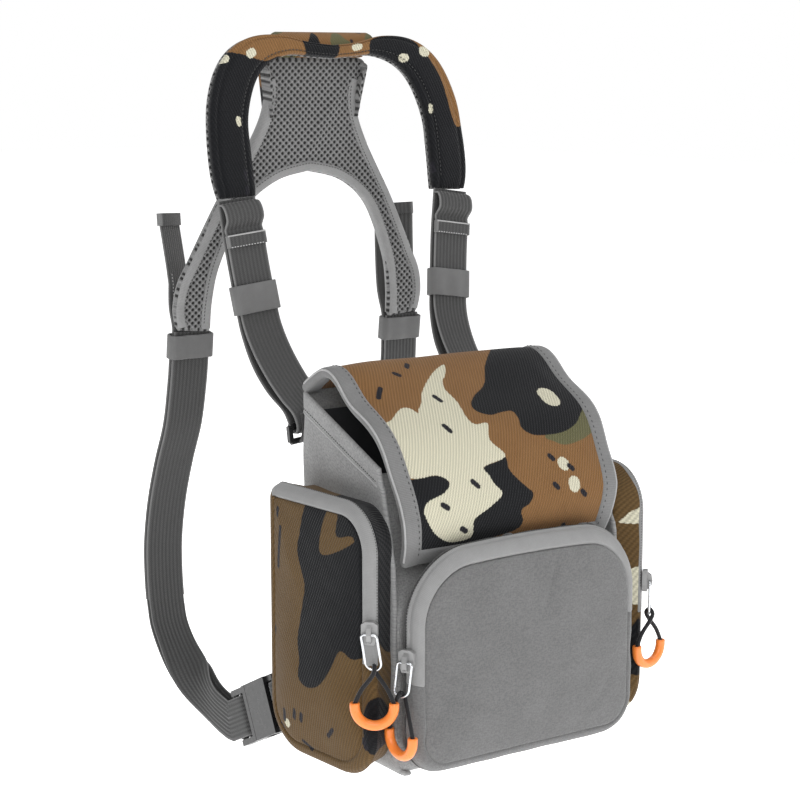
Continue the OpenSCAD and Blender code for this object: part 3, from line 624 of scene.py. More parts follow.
LID_PRINT = dict(
    olive=[blob((30, 101), (34, 106), (42, 109), (55, 107), (66, 103), (82, 99), (82, 70), (50, 80))],
    black=[
        blob((-84, 115), (-66, 116), (-50, 116), (-43, 121), (-44, 140), (-30, 150), (-33, 170), (-84, 170)),
        blob((-18, 115), (-8, 113), (-2, 111), (-2, 118), (2, 124), (8, 130), (11, 133), (8, 138), (2, 141), (4, 148),
             (0, 152), (-10, 154), (-28, 156), (-40, 152), (-34, 140), (-20, 134), (-14, 126), (-18, 120)),
        blob((50, -8), (45, 18), (38, 28), (28, 38), (20, 47), (14, 57), (8, 63), (0, 68), (-7, 75), (-7, 81), (0, 85),
             (8, 84), (16, 84), (17, 90), (16, 96), (22, 101), (35, 102), (45, 101), (55, 97), (63, 90), (70, 85),
             (84, 78), (84, -8)),
    ],
    cream=[
        blob((-5, 41), (-10, 50), (-15, 55), (-17, 62), (-15, 72), (-16, 85), (-13, 90), (-5, 90), (-8, 97), (-8, 102),
             (-2, 111), (-18, 115), (-16, 120), (-14, 125), (-10, 131), (-20, 137), (-30, 142), (-30, 150), (-33, 153),
             (-45, 153), (-55, 147), (-61, 138), (-62, 133), (-58, 129), (-48, 126), (-43, 121), (-50, 116),
             (-66, 115), (-76, 100), (-72, 82), (-63, 79), (-55, 73), (-50, 71), (-46, 73), (-44, 77), (-42, 74),
             (-38, 70), (-33, 62), (-25, 54), (-15, 46)),
        stroke(6, (48, 74), (48, 78)), stroke(3.5, (36, 119), (37, 120)), stroke(4, (41, 131), (41, 132)),
    ],
    ink=[stroke(1.5, *ends) for ends in (
        ((-27, 66), (-25, 70)), ((-33, 88), (-31, 92)), ((-28, 122), (-25, 125)), ((-50, 132), (-47, 134)),
        ((-38, 146), (-35, 148)), ((-41, 44), (-39, 46)), ((-30, 40), (-28, 37)), ((28, 114), (30, 116)),
        ((40, 121), (42, 123)), ((27, 130), (29, 132)), ((46, 136), (48, 138)), ((34, 154), (36, 157)),
        ((-60, 60), (-56, 54)), ((-58, 24), (-52, 20)))
    ],
)
POCKET_PRINT = dict(
    black=[
        blob((-34, 6), (-14, 10), (2, 10), (6, 30), (7, 40), (2, 52), (0, 60), (3, 75), (5, 88), (2, 100), (2, 110),
             (-5, 114), (-15, 111), (-23, 102), (-29, 90), (-33, 88), (-40, 91), (-50, 84), (-56, 60), (-54, 30),
             (-44, 12)),
        blob((-62, 108), (-50, 112), (-46, 126), (-50, 144), (-62, 150)),
    ],
    cream=[stroke(2.4, (18, 141), (19, 142))],
    ink=[
        stroke(1.4, (24, 30), (26, 45), (27, 53)), stroke(1.2, (28, 20), (28, 24)), stroke(1.4, (31, 87), (31, 93)),
        stroke(1.4, (3, 132), (4, 136)), stroke(1.3, (9, 131), (10, 136)), stroke(1.5, (20, 134), (21, 140)),
        stroke(1.2, (-1, 152), (6, 149)), stroke(1.2, (24, 146), (28, 143)), stroke(1.4, (-46, 134), (-48, 139)),
        stroke(1.3, (-24, 134), (-19, 139)),
    ],
)
POCKET_TAN = [blob((-24, 14), (-15, 14), (-12, 35), (-20, 37), (-38, 28), (-37, 24), (-25, 26))]
PAD_PRINT = dict(
    olive=[blob((-68, 70), (-76, 85), (-75, 103), (-60, 103), (-60, 72)),
           blob((63, 65), (69, 85), (67, 103), (56, 103), (58, 68))],
    black=[
        blob((-98, 108), (-98, 22), (-84, 14), (-66, 16), (-50, 20), (-38, 17), (-32, 26), (-48, 44), (-58, 64),
             (-58, 108)),
        blob((96, 62), (84, 60), (76, 30), (60, 8), (44, 4), (26, 8), (30, 24), (52, 36), (56, 60), (56, 108),
             (96, 108)),
        blob((-20, -2), (-6, -4), (4, 6), (-2, 22), (-16, 22), (-22, 10)),
    ],
    cream=[
        stroke(3.2, (-79, 18), (-77, 18)), stroke(2.6, (-60, 16), (-58, 15)), stroke(1.6, (-72, 54), (-72, 57)),
        stroke(3.2, (65, 14), (67, 14)), stroke(2.6, (49, 18), (51, 18)), stroke(1.6, (67, 48), (67, 51)),
        stroke(2.0, (14, 12), (18, 11)),
    ],
    ink=[stroke(1.6, (-70.5, 85), (-70.5, 89)), stroke(1.6, (-70.5, 95), (-70.5, 98)), stroke(1.5, (64, 84), (65, 88))],
)


# ---- Pouch ----

POUCH_H, HALF_W, BACK, FRONT = 202, 77.5, 49, -49
FRONT_EDGE = np.array([[-49, 0], [-49, 95], [-47, 118], [-33, 168.5]])
EDGE_R, HEM = 9, 10


def wall_column(kind, s, v):
    """A point of the pouch's outside wall: kind of column, place along it, share of its height."""
    if kind == "side":
        front = np.interp(168.5 * v, FRONT_EDGE[:, 1], FRONT_EDGE[:, 0]) + 1.5
        z = v * (168.5 + 29.8 * s)
        x, y, nx, ny = -HALF_W, front + (40 - front) * s, -1.0, 0.0
    elif kind == "corner":
        a = radians(90 * s)
        nx, ny = -cos(a), sin(a)
        x, y, z = -68.5 + EDGE_R * nx, 40 + EDGE_R * ny, v * (198.3 + 3.7 * s)
    else:
        x, y, z, nx, ny = -68.5 + 137 * s, BACK, v * POUCH_H, 0.0, 1.0
    inset = EDGE_R - np.sqrt(EDGE_R**2 - np.clip(EDGE_R - z, 0, EDGE_R) ** 2)
    return np.array([x - nx * inset, y - ny * inset, z]), np.array([nx, ny, 0.0])


cols = [("side", s) for s in np.linspace(0, 1, 56)] + [("corner", s) for s in np.linspace(0, 1, 9)[1:]]
cols += [("back", s) for s in np.linspace(0, 1, 50)[1:]]
mirror_cols = [c for c in cols if c[0] != "back"]
high_rows = 1 - np.array([0, 2, 5, 8, 9.3, 9.9, 10.4, 11.2, 14]) / 190
rows = np.concatenate([9 / 190 * (1 - np.cos(np.arange(6) * pi / 10)), np.linspace(0.075, 0.915, 60), high_rows[::-1]])
points, normals = [], []
for kind, s in cols:
    pair = [wall_column(kind, s, v) for v in rows]
    points.append([p for p, _ in pair])
    normals.append([n for _, n in pair])
for kind, s in mirror_cols[::-1][1:]:
    pair = [wall_column(kind, s, v) for v in rows]
    points.append([p * [-1, 1, 1] for p, _ in pair])
    normals.append([n * [-1, 1, 1] for _, n in pair])
wall, wall_n = np.array(points), np.array(normals)
from_top = (1 - rows)[None, :] * wall[:, -1, 2][:, None]
puff = 1.2 * np.sin(pi * np.clip(rows, 0, 1))[None, :] + 0.5 * ripple(wall.reshape(-1, 3), 46).reshape(wall.shape[:2])
puff *= smooth(from_top / 25) * smooth(rows / 0.1)[None, :]
wall += wall_n * (puff + 0.6 * smooth((HEM + 0.3 - from_top) / 0.8))[..., None]
run = np.broadcast_to(measure(wall[:, 30])[:, None], from_top.shape)
weave = np.stack([run, -from_top, 0 * run], -1)
shell = slab(wall, 3, (0, 0, 100), weave)
side_line = np.concatenate([[[40, 0], [-40, 0]],
                            [[FRONT + 9 - 9 * sin(a), 9 - 9 * cos(a)] for a in np.linspace(0.2, pi / 2, 7)],
                            [[-49, 50], [-49, 92], [-37, 112], [-29, 164]]])
side_line = even(side_line, 90)
inset = EDGE_R - np.sqrt(EDGE_R**2 - np.clip(EDGE_R - side_line[:, 1], 0, EDGE_R) ** 2)
floor_half = 75.5 - inset
u = np.linspace(-1, 1, 60)
base = np.stack([u[:, None] * floor_half[None, :],
                 *(np.broadcast_to(side_line[:, k], (60, 90)) for k in (0, 1))], -1)
base_weave = np.stack([base[..., 0], np.broadcast_to(measure(side_line), (60, 90)), 0 * base[..., 0]], -1)
make("pouch_body", merge(shell, slab(base, 3, (0, 0, 100), base_weave)), WALL, "pack",
     ["pouch_shell"])
hem = np.array([at_length(c, [measure(c)[-1] - HEM - 0.6])[0] for c in wall]) + wall_n[:, 40] * 0.25
make("pouch_piping", tube(hem[2:-2], 0.55), PIPING, "pack")
row = np.array([at_length(c, [measure(c)[-1] - HEM + 2.2])[0] for c in wall]) + wall_n[:, 40] * 0.05
make("pouch_stitches", stitches(row[2:-2], wall_n[2:-2, 40], 2.0, 1.2, 0.32), THREAD_DARK, "pack")

# The lining: a back and two sides, and a front that runs on under the base
z_in, w_in = 6.2, 73.3
sides = []
for sgn in (-1, 1):
    v = np.linspace(0, 1, 40)[None, :]
    s = np.linspace(0, 1, 24)[:, None]
    front = np.interp(z_in + (150 - z_in) * v, [0, 92, 112, 154], [-45.5, -45.5, -33.5, -27.5])
    y = front + (45 - front) * s
    z = z_in + (150 + 39 * s - z_in) * v
    p = np.stack([np.full_like(y, sgn * w_in), y, z], -1)
    sides.append(slab(p, -1.0, (0, 0, 90), np.stack([y, z, 0 * y], -1)))
x, z = np.meshgrid(np.linspace(-w_in, w_in, 40), np.linspace(z_in, 189, 40), indexing="ij")
sides.append(slab(np.stack([x, np.full_like(x, 44.8), z], -1), -1.0, (0, 0, 90), np.stack([x, z, 0 * x], -1)))
line = even(np.array([[45, z_in], [-45.4, z_in], [-45.4, 92], [-33.4, 112], [-27.6, 153]]), 80)
x, s = np.meshgrid(np.linspace(-w_in, w_in, 40), np.arange(80), indexing="ij")
p = np.stack([x, line[s, 0], line[s, 1]], -1)
sides.append(slab(p, -1.0, (0, 0, 90), np.stack([x, measure(line)[s], 0 * x], -1)))
make("pouch_lining_bag", merge(*sides), LINING, "pack", ["pouch_lining"])


def rounded_ring(w, z0, z1, r, n=9):
    return np.array([[sx * (w / 2 - r) + r * cos(a), (z1 - r if sz > 0 else z0 + r) + r * sin(a)]
                     for sx, sz, a0 in ((1, 1, 0), (-1, 1, 90), (-1, -1, 180), (1, -1, 270))
                     for a in (radians(a0 + 90 * k / n) for k in range(n + 1))])


# Back pad, with two sewn channels
ring2 = even(np.concatenate([rounded_ring(112, 22, 172, 16), rounded_ring(112, 22, 172, 16)[:1]]), 181)[:-1]
ring = np.stack([ring2[:, 0], np.full(len(ring2), 49.0), ring2[:, 1]], 1)
scale = [0.98, 1.0, 0.995] + list(np.linspace(0.97, 0.03, 44))
rise = [0.0, 2.5, 4.6] + [6.4 + 0.8 * (1 - s**2) for s in scale[3:]]
verts, faces = disc(ring, np.array([0, 49.0, 97]), [(s, (0, h, 0)) for s, h in zip(scale, rise)])
for cx in (-19, 19):
    verts[:, 1] -= np.where(verts[:, 1] > 53, 2.2 * np.exp(-((verts[:, 0] - cx) / 2.2) ** 2), 0)
make("back_pad_cushion", (verts, faces, {"weave": verts[:, [0, 2, 1]]}), PAD_MESH, "pack",
     ["back_pad"])

# ---- Lid ----

LID_LINE = spline([[46.5, 203.5], [38, 210], [24, 216], [10, 213], [-10, 200.5], [-30, 186.5], [-44, 168],
                   [-52.5, 148], [-52, 131], [-47.5, 118]], 24)
LID_S = measure(LID_LINE)
LID_T = unit(np.gradient(LID_LINE, axis=0))
LID_LONG = LID_S[-1]
HEIGHTS = [110, 118, 147, 176, 200, 240]


def lid_at(u, v, lift=0.0):
    """A point of the lid's outside: u from -1 to 1 across it, v millimetres from the hinge."""
    u, v = np.broadcast_arrays(np.asarray(u, float), np.asarray(v, float))
    y, z = np.interp(v, LID_S, LID_LINE[:, 0]), np.interp(v, LID_S, LID_LINE[:, 1])
    ty, tz = np.interp(v, LID_S, LID_T[:, 0]), np.interp(v, LID_S, LID_T[:, 1])
    left = np.interp(z, HEIGHTS, [70, 71.5, 75, 76, 76.5, 76.5])
    right = np.interp(z, HEIGHTS, [64, 66.5, 72, 74, 76.5, 76.5])
    edge = smooth((np.abs(u) - 0.7) / 0.3)
    sag = np.where(u < 0, 4.0, 3.0) * np.exp(-((v - 57) / 15) ** 2) * edge + 2.0 * np.exp(-((v - 112) / 14) ** 2) * edge
    puff = lift + 1.8 * (1 - np.abs(u) ** 3) * smooth(v / 20) * smooth((LID_LONG - v) / 25) - sag
    p = np.stack([u * np.where(u < 0, left, right), y + puff * tz, z - puff * ty], -1)
    wrinkle = 0.55 * ripple(p.reshape(-1, 3), 52).reshape(u.shape) * smooth(v / 12)
    return p + np.stack([0 * u, wrinkle * tz, -wrinkle * ty], -1)


u, v = np.meshgrid(np.linspace(-0.975, 0.975, 150), np.linspace(2, LID_LONG - 1.5, 165), indexing="ij")
p = lid_at(u, v)
weave = np.stack([p[..., 0], v, 0 * u], -1)
make("lid_panel", slab(p, 4, (0, 0, 120), weave, extra=layers(weave[..., :2], **LID_PRINT)), CAMO,
     "lid", ["lid"])


def lid_edge(inner, outer):
    """Binding along an edge of the lid, between two lines on its surface."""
    a, b = lid_at(*inner), lid_at(*outer)
    side = unit(a - b)
    tan = unit(np.gradient(b, axis=0))
    n = unit(np.cross(tan, side))
    if np.sum(n * (b - np.array([0, 0, 120]))) < 0:
        n = -n
    return (a + b) / 2 - n * 2.0, side, n, a, b


bands, threads, pipings = [], [], []
for sgn in (-1, 1):
    v = np.linspace(0.5, LID_LONG + 0.5, 120)
    wide = np.abs(lid_at(sgn, v)[:, 0])
    c, side, n, a, b = lid_edge((sgn * (1 - 9.8 / wide), v), (sgn * np.ones_like(v), v))
    bands.append(sweep(c, side, oblong(11.2, 5.9, 2.4, 4)))
    threads.append(stitches((a + (b - a) * 0.2 + n * 0.93)[4:-4], n[4:-4], 3.4, 1.5, 0.33))
    pipings.append(tube((b - side * 0.35 - n * 0.2)[2:-2], 0.6))
u = np.linspace(-0.97, 0.97, 80)
c, side, n, a, b = lid_edge((u, np.full_like(u, LID_LONG - 9)), (u, np.full_like(u, LID_LONG)))
bands.append(sweep(c, side, oblong(10.4, 5.8, 2.4, 4)))
make("lid_tape", merge(*bands), BINDING, "lid", ["lid_binding"])
make("lid_tape_stitches", merge(*threads), THREAD_DARK, "lid")
make("lid_tape_piping", merge(*pipings), PIPING, "lid")

# The lid's cover runs on over the hinge and is sewn to the back wall
flap = np.array([[50.6, 188], [50.6, 194], [50.6, 199], [50.3, 203]])
x, s = np.meshgrid(np.linspace(-46, 46, 70), np.arange(34), indexing="ij")
over = lid_at(0, np.linspace(3, 17, 6), 1.1)[:, 1:]
line = even(spline(np.concatenate([flap, [[48.9, 206.2]], over]), 6), 34)
p = np.stack([x, line[s, 0], line[s, 1]], -1)
weave = np.stack([x, measure(line)[s] - 30, 0 * x], -1)
make("hinge_cloth", slab(p, 1.2, (0, 30, 150), weave,
                         extra=layers(weave[..., :2], **scattered(5, -50, 50, -40, 20))), CAMO,
     None, ["hinge_flap"], blend=("pack", "lid", world((0, 50, 200)), world((0, 42, 211))))

# ---- Pockets ----

POCKET_T = 2.0


def arc(cx, cz, r, a0, a1, n):
    a = np.radians(np.linspace(a0, a1, n + 1))
    return np.stack([cx + r * np.cos(a), cz + r * np.sin(a)], 1)


def steps(a, b, n):
    """n points from a towards b, without a."""
    return np.asarray(a) + (np.asarray(b) - np.asarray(a)) * (np.arange(1, n + 1) / n)[:, None]


N_SIDE, N_ARC, N_TOP = 12, 16, 22
ZIP_FROM = N_ARC + N_SIDE
TOP_MID = ZIP_FROM + N_SIDE + N_ARC + N_TOP
BACK_CORNER = TOP_MID + N_TOP + N_ARC // 2
ZIP_TO = TOP_MID + N_TOP + N_ARC + N_SIDE


def pocket_ring(a, b, z0, z1, r0, r1, r2, s0, s1, d, k):
    """The pocket's outline moved inwards by d, and by k times d at its top; the same places in every ring."""
    c0, c1, c2 = (max(r - d, 2) for r in (r0, r1, r2))
    lo, hi, x0, x1 = z0 + d, z1 - k * d, a + d, b - d
    m0 = lo + c0 + (hi - c1 - lo - c0) * s0
    m1 = lo + c0 + (hi - c2 - lo - c0) * s1
    mid = (x0 + x1) / 2
    return np.concatenate([
        arc(x0 + c0, lo + c0, c0, 270, 180, N_ARC), steps((x0, lo + c0), (x0, m0), N_SIDE),
        steps((x0, m0), (x0, hi - c1), N_SIDE),
        arc(x0 + c1, hi - c1, c1, 180, 90, N_ARC)[1:], steps((x0 + c1, hi), (mid, hi), N_TOP),
        steps((mid, hi), (x1 - c2, hi), N_TOP),
        arc(x1 - c2, hi - c2, c2, 90, 0, N_ARC)[1:], steps((x1, hi - c2), (x1, m1), N_SIDE),
        steps((x1, m1), (x1, lo + c0), N_SIDE),
        arc(x1 - c0, lo + c0, c0, 0, -90, N_ARC)[1:], steps((x1 - c0, lo), (x0 + c0, lo), 30)[:-1]])


def front_ring(dy, d, lean):
    p = pocket_ring(-77, 77, 4, 129, 22, 36, 36, 0.5, 0.78, d, 1.5)
    z = p[:, 1] - 4 * (p[:, 0] / 77) ** 2 * p[:, 1] / 129
    return np.stack([p[:, 0], FRONT + dy - lean * np.maximum(0, z - 96) / 33, z], 1)


def side_ring(x, d, lean=0):
    p = pocket_ring(-52, 40, 1, 153, 28, 26, 9, 0.4, 0.62, d, 1)
    return np.stack([-HALF_W - x * (0.68 + 0.32 * (p[:, 0] + 52) / 92), p[:, 0], p[:, 1]], 1)


def side_foot(x, front, d):
    p = pocket_ring(front, 40, 4, 149, 24, 22, 9, 0.4, 0.62, d, 1)
    return np.stack([np.full(len(p), -HALF_W - x), p[:, 0], p[:, 1]], 1)


def section(ring, knots, n):
    return np.stack([ring(*k) for k in spline(knots, n)], 1)


def weave_of(rings):
    """Surface millimetres on rings: along the outline, and across it."""
    along = np.broadcast_to(measure(rings[:, -1])[:, None], rings.shape[:2])
    gaps = np.linalg.norm(np.diff(rings, axis=1), axis=2)
    across = np.concatenate([np.zeros((len(rings), 1)), np.cumsum(gaps, axis=1)], 1)
    return np.stack([across, along, 0 * along], -1)


def cut(rings, i0, i1):
    n = len(rings)
    return rings[np.arange(i0, i1 + 1) % n]


def bumped(rings, centre, bump):
    """Rings pushed outwards by one amount for each place across them."""
    n = unit(np.cross(np.roll(rings, -1, 0) - np.roll(rings, 1, 0), np.gradient(rings, axis=1)))
    if np.sum(n * (rings - centre)) < 0:
        n = -n
    return rings + n * np.asarray(bump)[..., None]


def panel(ring, centre, out, depth, wrinkle, count=56):
    """A padded face inside a ring: crowned by depth, and drawn in at its seam."""
    rows = [(0.985, -np.asarray(out) * 2.0), (1.0, -np.asarray(out) * 0.9)]
    for s in 1 - (np.linspace(0.0, 1, count) ** 1.25) * 0.985:
        rows.append((s, np.asarray(out) * (depth * (1 - s**2.6) - 0.7 * np.exp(-((1 - s) / 0.012)))))
    verts, faces = disc(ring, centre, rows)
    n = len(ring)
    share = np.repeat([r[0] for r in rows], n)
    lift = wrinkle(verts, share) * smooth((1 - share) / 0.03)
    return verts + lift[:, None] * np.asarray(out), faces


FRONT_KNOTS = [(0, 4, 8), (-5, 0.6, 5), (-8.5, 0, 2), (-13, 0.7, 1), (-16.5, 2.8, 0.2), (-18.5, 6, 0)]
front_all = section(front_ring, FRONT_KNOTS, 6)
middle = np.array([0, FRONT - 8, 62])
gusset = front_all[:, :13]
gusset = bumped(gusset, middle, 0.25 * ripple(gusset.reshape(-1, 3), 24).reshape(gusset.shape[:2]))
make("front_pocket_gusset", slab(gusset, POCKET_T, middle, weave_of(gusset), wrap=True), GREY_DARK, "pack",
     ["front_gusset"])
band = front_all[:, 12:]
place = np.linspace(0, 1, band.shape[1])
ridge = 0.9 * np.exp(-((place - 0.14) / 0.05) ** 2) - 0.5 * np.exp(-((place - 0.26) / 0.05) ** 2)
ridge += 0.5 * np.sin(pi * place)
ridge -= 1.6 * smooth((place - 0.9) / 0.1)
tape = cut(bumped(band, middle, ridge), ZIP_FROM, ZIP_TO)
make("front_zip_band", slab(tape, 1.5, middle, weave_of(tape)), TAPE, "pack", ["front_zip_tape"])
lower = cut(bumped(band, middle, ridge * 0.5), ZIP_TO, len(band) + ZIP_FROM)
lower = bumped(lower, middle, 0.3 * ripple(lower.reshape(-1, 3), 20).reshape(lower.shape[:2]))
make("front_pocket_band", slab(lower, POCKET_T, middle, weave_of(lower)), GREY, "pack",
     ["front_lower_band"])
seam = cut(bumped(band, middle, ridge), ZIP_FROM, ZIP_TO)
make("front_zip_stitches", stitches(seam[3:-3, 2], (0, -1, 0.2), 1.6, 1.1, 0.22), THREAD_DARK, "pack")
seam = cut(gusset, 0, len(gusset))
make("front_gusset_piping", tube(seam[:-1, 12] + [0, 0.3, 0], 0.6, (0, 1, 0), 8, True), GREY_DARK, "pack")


def front_folds(p, share):
    """Soft creases: by the zip's low end, down the upper middle, and puckers at the seam."""
    out = 0.3 * ripple(p, 60) + 0.12 * ripple(p, 17)
    for x0, z0, x1, z1, w, h in ((20, 120, 6, 86, 1.8, -0.7), (-62, 52, -36, 40, 2.6, -0.9),
                                 (-64, 44, -46, 26, 2.4, -0.8),
                                 (58, 40, 40, 22, 3.2, -0.6), (-10, 118, -22, 96, 2.6, -0.35)):
        a, b = np.array([x0, z0]), np.array([x1, z1])
        q = p[:, [0, 2]] - a
        t = np.clip(q @ (b - a) / np.sum((b - a) ** 2), 0, 1)
        d = np.linalg.norm(q - t[:, None] * (b - a), axis=1)
        out += h * np.exp(-(d / w) ** 2) * np.sin(pi * np.clip(t, 0.02, 0.98)) ** 0.5
    angle = np.arctan2(p[:, 2] - 62, p[:, 0])
    return out + 0.35 * np.sin(angle * 46) * np.exp(-(1 - share) / 0.05)


ring = front_ring(-18.2, 6.4, 0)
verts, faces = panel(ring, np.array([0, FRONT - 18.2, 60]), (0, -1, 0), 4.4, front_folds)
make("front_pocket_panel", (verts, faces, {"weave": verts[:, [0, 2, 1]]}), GREY, "pack",
     ["front_panel"])


def pocket_layers(points, other):
    """The print on a side pocket, from its place on the side of the pouch."""
    p = points.reshape(-1, 3)
    uv = np.stack([p[:, 1], 160 - p[:, 2]], 1)
    if other:
        return layers(uv, **scattered(11, -55, 45, 0, 160, 40))
    out = layers(uv, **POCKET_PRINT)
    out["black"] = np.minimum(out["black"], -spread(POCKET_TAN, uv))
    return out


def side_folds(p, share):
    low_bulge = 3.4 * np.exp(-((p[:, 2] - 38) / 34) ** 2) * (1 - share**3)
    return low_bulge + 0.35 * ripple(p, 50) + 0.12 * ripple(p, 18)


feet = [side_foot(0, -45, 0), side_foot(3, -46.6, 0), side_foot(6, -48, 0)]
side_gusset = np.stack(feet + [feet[-1] * (1 - t) + side_ring(20, 0) * t for t in np.linspace(0.2, 1, 5)], 1)
side_band = section(side_ring, [(20, 0, 0), (23.5, 0.6, 0), (26.4, 2.8, 0), (28, 7, 0)], 7)
side_mid = np.array([-88.0, -6, 75])
flat_weave = lambda p: np.stack([p[..., 1], p[..., 2], p[..., 0]], -1)
place = np.linspace(0, 1, side_band.shape[1])
ridge = 0.7 * np.exp(-((place - 0.12) / 0.06) ** 2) + 0.5 * np.sin(pi * place) - 1.5 * smooth((place - 0.9) / 0.1)
for name, other in (("left", False), ("right", True)):
    flip = mirrored if other else (lambda geo: geo)
    soft = bumped(side_gusset, side_mid, 0.3 * ripple(side_gusset.reshape(-1, 3), 26).reshape(side_gusset.shape[:2]))
    low_band = bumped(cut(side_band, BACK_CORNER, len(side_band) + ZIP_FROM), side_mid, ridge * 0.5)
    geos = [slab(soft, POCKET_T, side_mid, flat_weave(soft), True, pocket_layers(soft, other)),
            slab(low_band, POCKET_T, side_mid, flat_weave(low_band), False, pocket_layers(low_band, other))]
    # The side pockets take the darker copy of the blotched cloth, with painted shade.
    make(name + "_pocket_gusset", flip(merge(*geos)), CAMO_SHADED, "pack", [name + "_gusset"])
    zip_rings = cut(bumped(side_band, side_mid, ridge), ZIP_FROM, BACK_CORNER)
    make(name + "_zip_band", flip(slab(zip_rings, 1.5, side_mid, weave_of(zip_rings))), TAPE, "pack",
         [name + "_zip_tape"])
    make(name + "_zip_stitches", flip(stitches(zip_rings[3:-3, 3], (-1, -0.4, 0.2), 1.6, 1.1, 0.22)), THREAD_DARK,
         "pack")
    ring = side_ring(27.6, 7.3)
    verts, faces = panel(ring, np.array([ring[:, 0].mean() - 0.2, -6, 76]), (-1, 0, 0), 3.4, side_folds)
    geo = (verts, faces, {"weave": verts[:, [1, 2, 0]], **pocket_layers(verts, other)})
    make(name + "_pocket_panel", flip(geo), CAMO_SHADED, "pack", [name + "_panel"])

# ---- Zip sliders and pulls ----

WIRE_R, CORD_R, GRIP_R, GRIP_HALF, LOOP_L, BRIDGE_Y = 0.7, 1.2, 2.75, 10.5, 19, -4.4


def spun(p, at, yaw, flip=False):
    c, s = cos(radians(yaw)), sin(radians(yaw))
    p = np.asarray(p, float) @ np.array([[c, s, 0], [-s, c, 0], [0, 0, 1]]) + at
    return p * [-1, 1, 1] if flip else p


def soft_edges(node, width=0.4):
    ob = frame["nodes"][node]
    ob.modifiers.new("edge", "BEVEL").width = width / 1000
    ob.modifiers["edge"].segments = 3
    ob.modifiers["edge"].limit_method = "ANGLE"
    ob.modifiers["edge"].angle_limit = radians(35)
    return ob


def paint(node, mat, width):
    ob = soft_edges(node, width)
    ob.data.materials.clear()
    ob.data.materials.append(mat)


a = np.radians(np.linspace(0, 90, 6))
top_bar = [[x, 0, 0] for x in np.linspace(-2.6, 2.6, 6)]
down = [[2.6 + 1.6 * sin(t), 0, -1.6 + 1.6 * cos(t)] for t in a[1:]] + [[4.2, 0, z] for z in np.linspace(-2.6, -14, 9)]
bow = [[4.2 * cos(t), 0, -14.8 - 4.2 * sin(t)] for t in np.linspace(0, pi, 17)]
up = [[-q[0], 0, q[2]] for q in down[::-1]]
wire_line = np.array(top_bar + down + bow + up) + [0, BRIDGE_Y, 0]
PULLS = {
    "front": ((-77.6, -60.6, 70), -60, False, (-81.41, -62.8, 51), -88, 22, -2.2),
    "left": ((-95.4, -50.9, 86), -44, False, (-98.46, -54.07, 67), -36, 20, 3.0),
    "right": ((-95.4, -50.9, 86), -44, True, (98.46, -54.07, 67), 8, 20, 1.5),
}
cord_pieces = []
for name, (at, yaw, flip, end, turn, drop, lean) in PULLS.items():
    paint(name + "_slider", CAST, 0.5)
    line = wire_line + np.stack([lean * wire_line[:, 2] / -LOOP_L, 0 * wire_line[:, 0], 0 * wire_line[:, 0]], 1)
    axis = unit(spun([0, 1, 0], (0, 0, 0), yaw, flip))
    make(name + "_wire_loop", tube(spun(line, at, yaw, flip), WIRE_R, axis, 12, True), STEEL, name + "_pull_wire",
         [name + "_pull_wire"])
    shift = spun([lean, 0, 0], (0, 0, 0), yaw, flip)
    end = np.array(end) + shift
    r = WIRE_R + CORD_R + 0.6
    route = spline([[-GRIP_HALF, 0, -drop - 3], [-GRIP_HALF, 0, -drop + 1], [-7, -0.6, -drop * 0.55], [-2, 0.4 - r, -4],
                    [0, -r, 0], [0, 0, r], [0, r, 0], [2, r - 0.4, -4], [7, 0.6, -drop * 0.55],
                    [GRIP_HALF, 0, -drop + 1], [GRIP_HALF, 0, -drop - 3]], 6)
    route = spun(route, end, turn)
    cord_geo = tube(route, CORD_R, spun([0, 1, 0], (0, 0, 0), turn) + [0.02, 0.01, 0.03], 12)
    cord = make(name + "_cord", cord_geo, CORD, name + "_pull", [name + "_pull_cord"])
    bend = [[-GRIP_HALF, 0, 2], [-GRIP_HALF, 0, 1], [-GRIP_HALF, 0, 0]]
    bend += [[-GRIP_HALF * cos(t), 0, -GRIP_HALF * sin(t)] for t in np.linspace(0, pi, 33)[1:-1]]
    bend += [[-q[0], 0, q[2]] for q in bend[2::-1]]
    bend = spun(np.array(bend) - [0, 0, drop], end, turn)
    long = measure(bend)[-1]
    ends = [(3.0, 1.45), (0.0, 1.5), (0.0, 2.45), (0.35, 2.72), (1.2, GRIP_R)]
    stations = ends + [(d, GRIP_R) for d in np.linspace(2.4, long - 2.4, 34)] + [(long - d, q) for d, q in ends[::-1]]
    grip = make(name + "_grip", pipe(bend, unit(spun([0, 1, 0], (0, 0, 0), turn)), stations), RUBBER, name + "_pull",
                [name + "_pull_grip"])
    cord_pieces.append((cord, route, grip))

# ---- Harness ----


def leaning(p, y, z, lean):
    c, s = cos(radians(lean)), sin(radians(lean))
    p = np.asarray(p, float)
    return np.stack([p[..., 0], y + p[..., 1] * c + p[..., 2] * s, z - p[..., 1] * s + p[..., 2] * c], -1)


def whole(half, n):
    """A half outline from one foot to the middle, made whole from left to right, in n even points."""
    h = spline(half, 8)
    return even(np.concatenate([h * [-1, 1], h[::-1][1:]]), n)


# Where each flat drawing stands: its y and z, and its lean in degrees.
PAD_AT, YOKE_AT = (115, 306, 10.4), (170, 222, -5.8)
PAD_OUTER = [[88, 0], [90.5, 14], [90.5, 34], [88, 56], [81, 75], [70, 88], [55, 95], [36, 96], [18, 92], [0, 90]]
PAD_INNER = [[64, 1], [64.5, 24], [64, 46], [57, 67], [46, 79], [30, 84.5], [14, 83.5], [0, 82.5]]
outer, inner = whole(PAD_OUTER, 300), whole(PAD_INNER, 300)


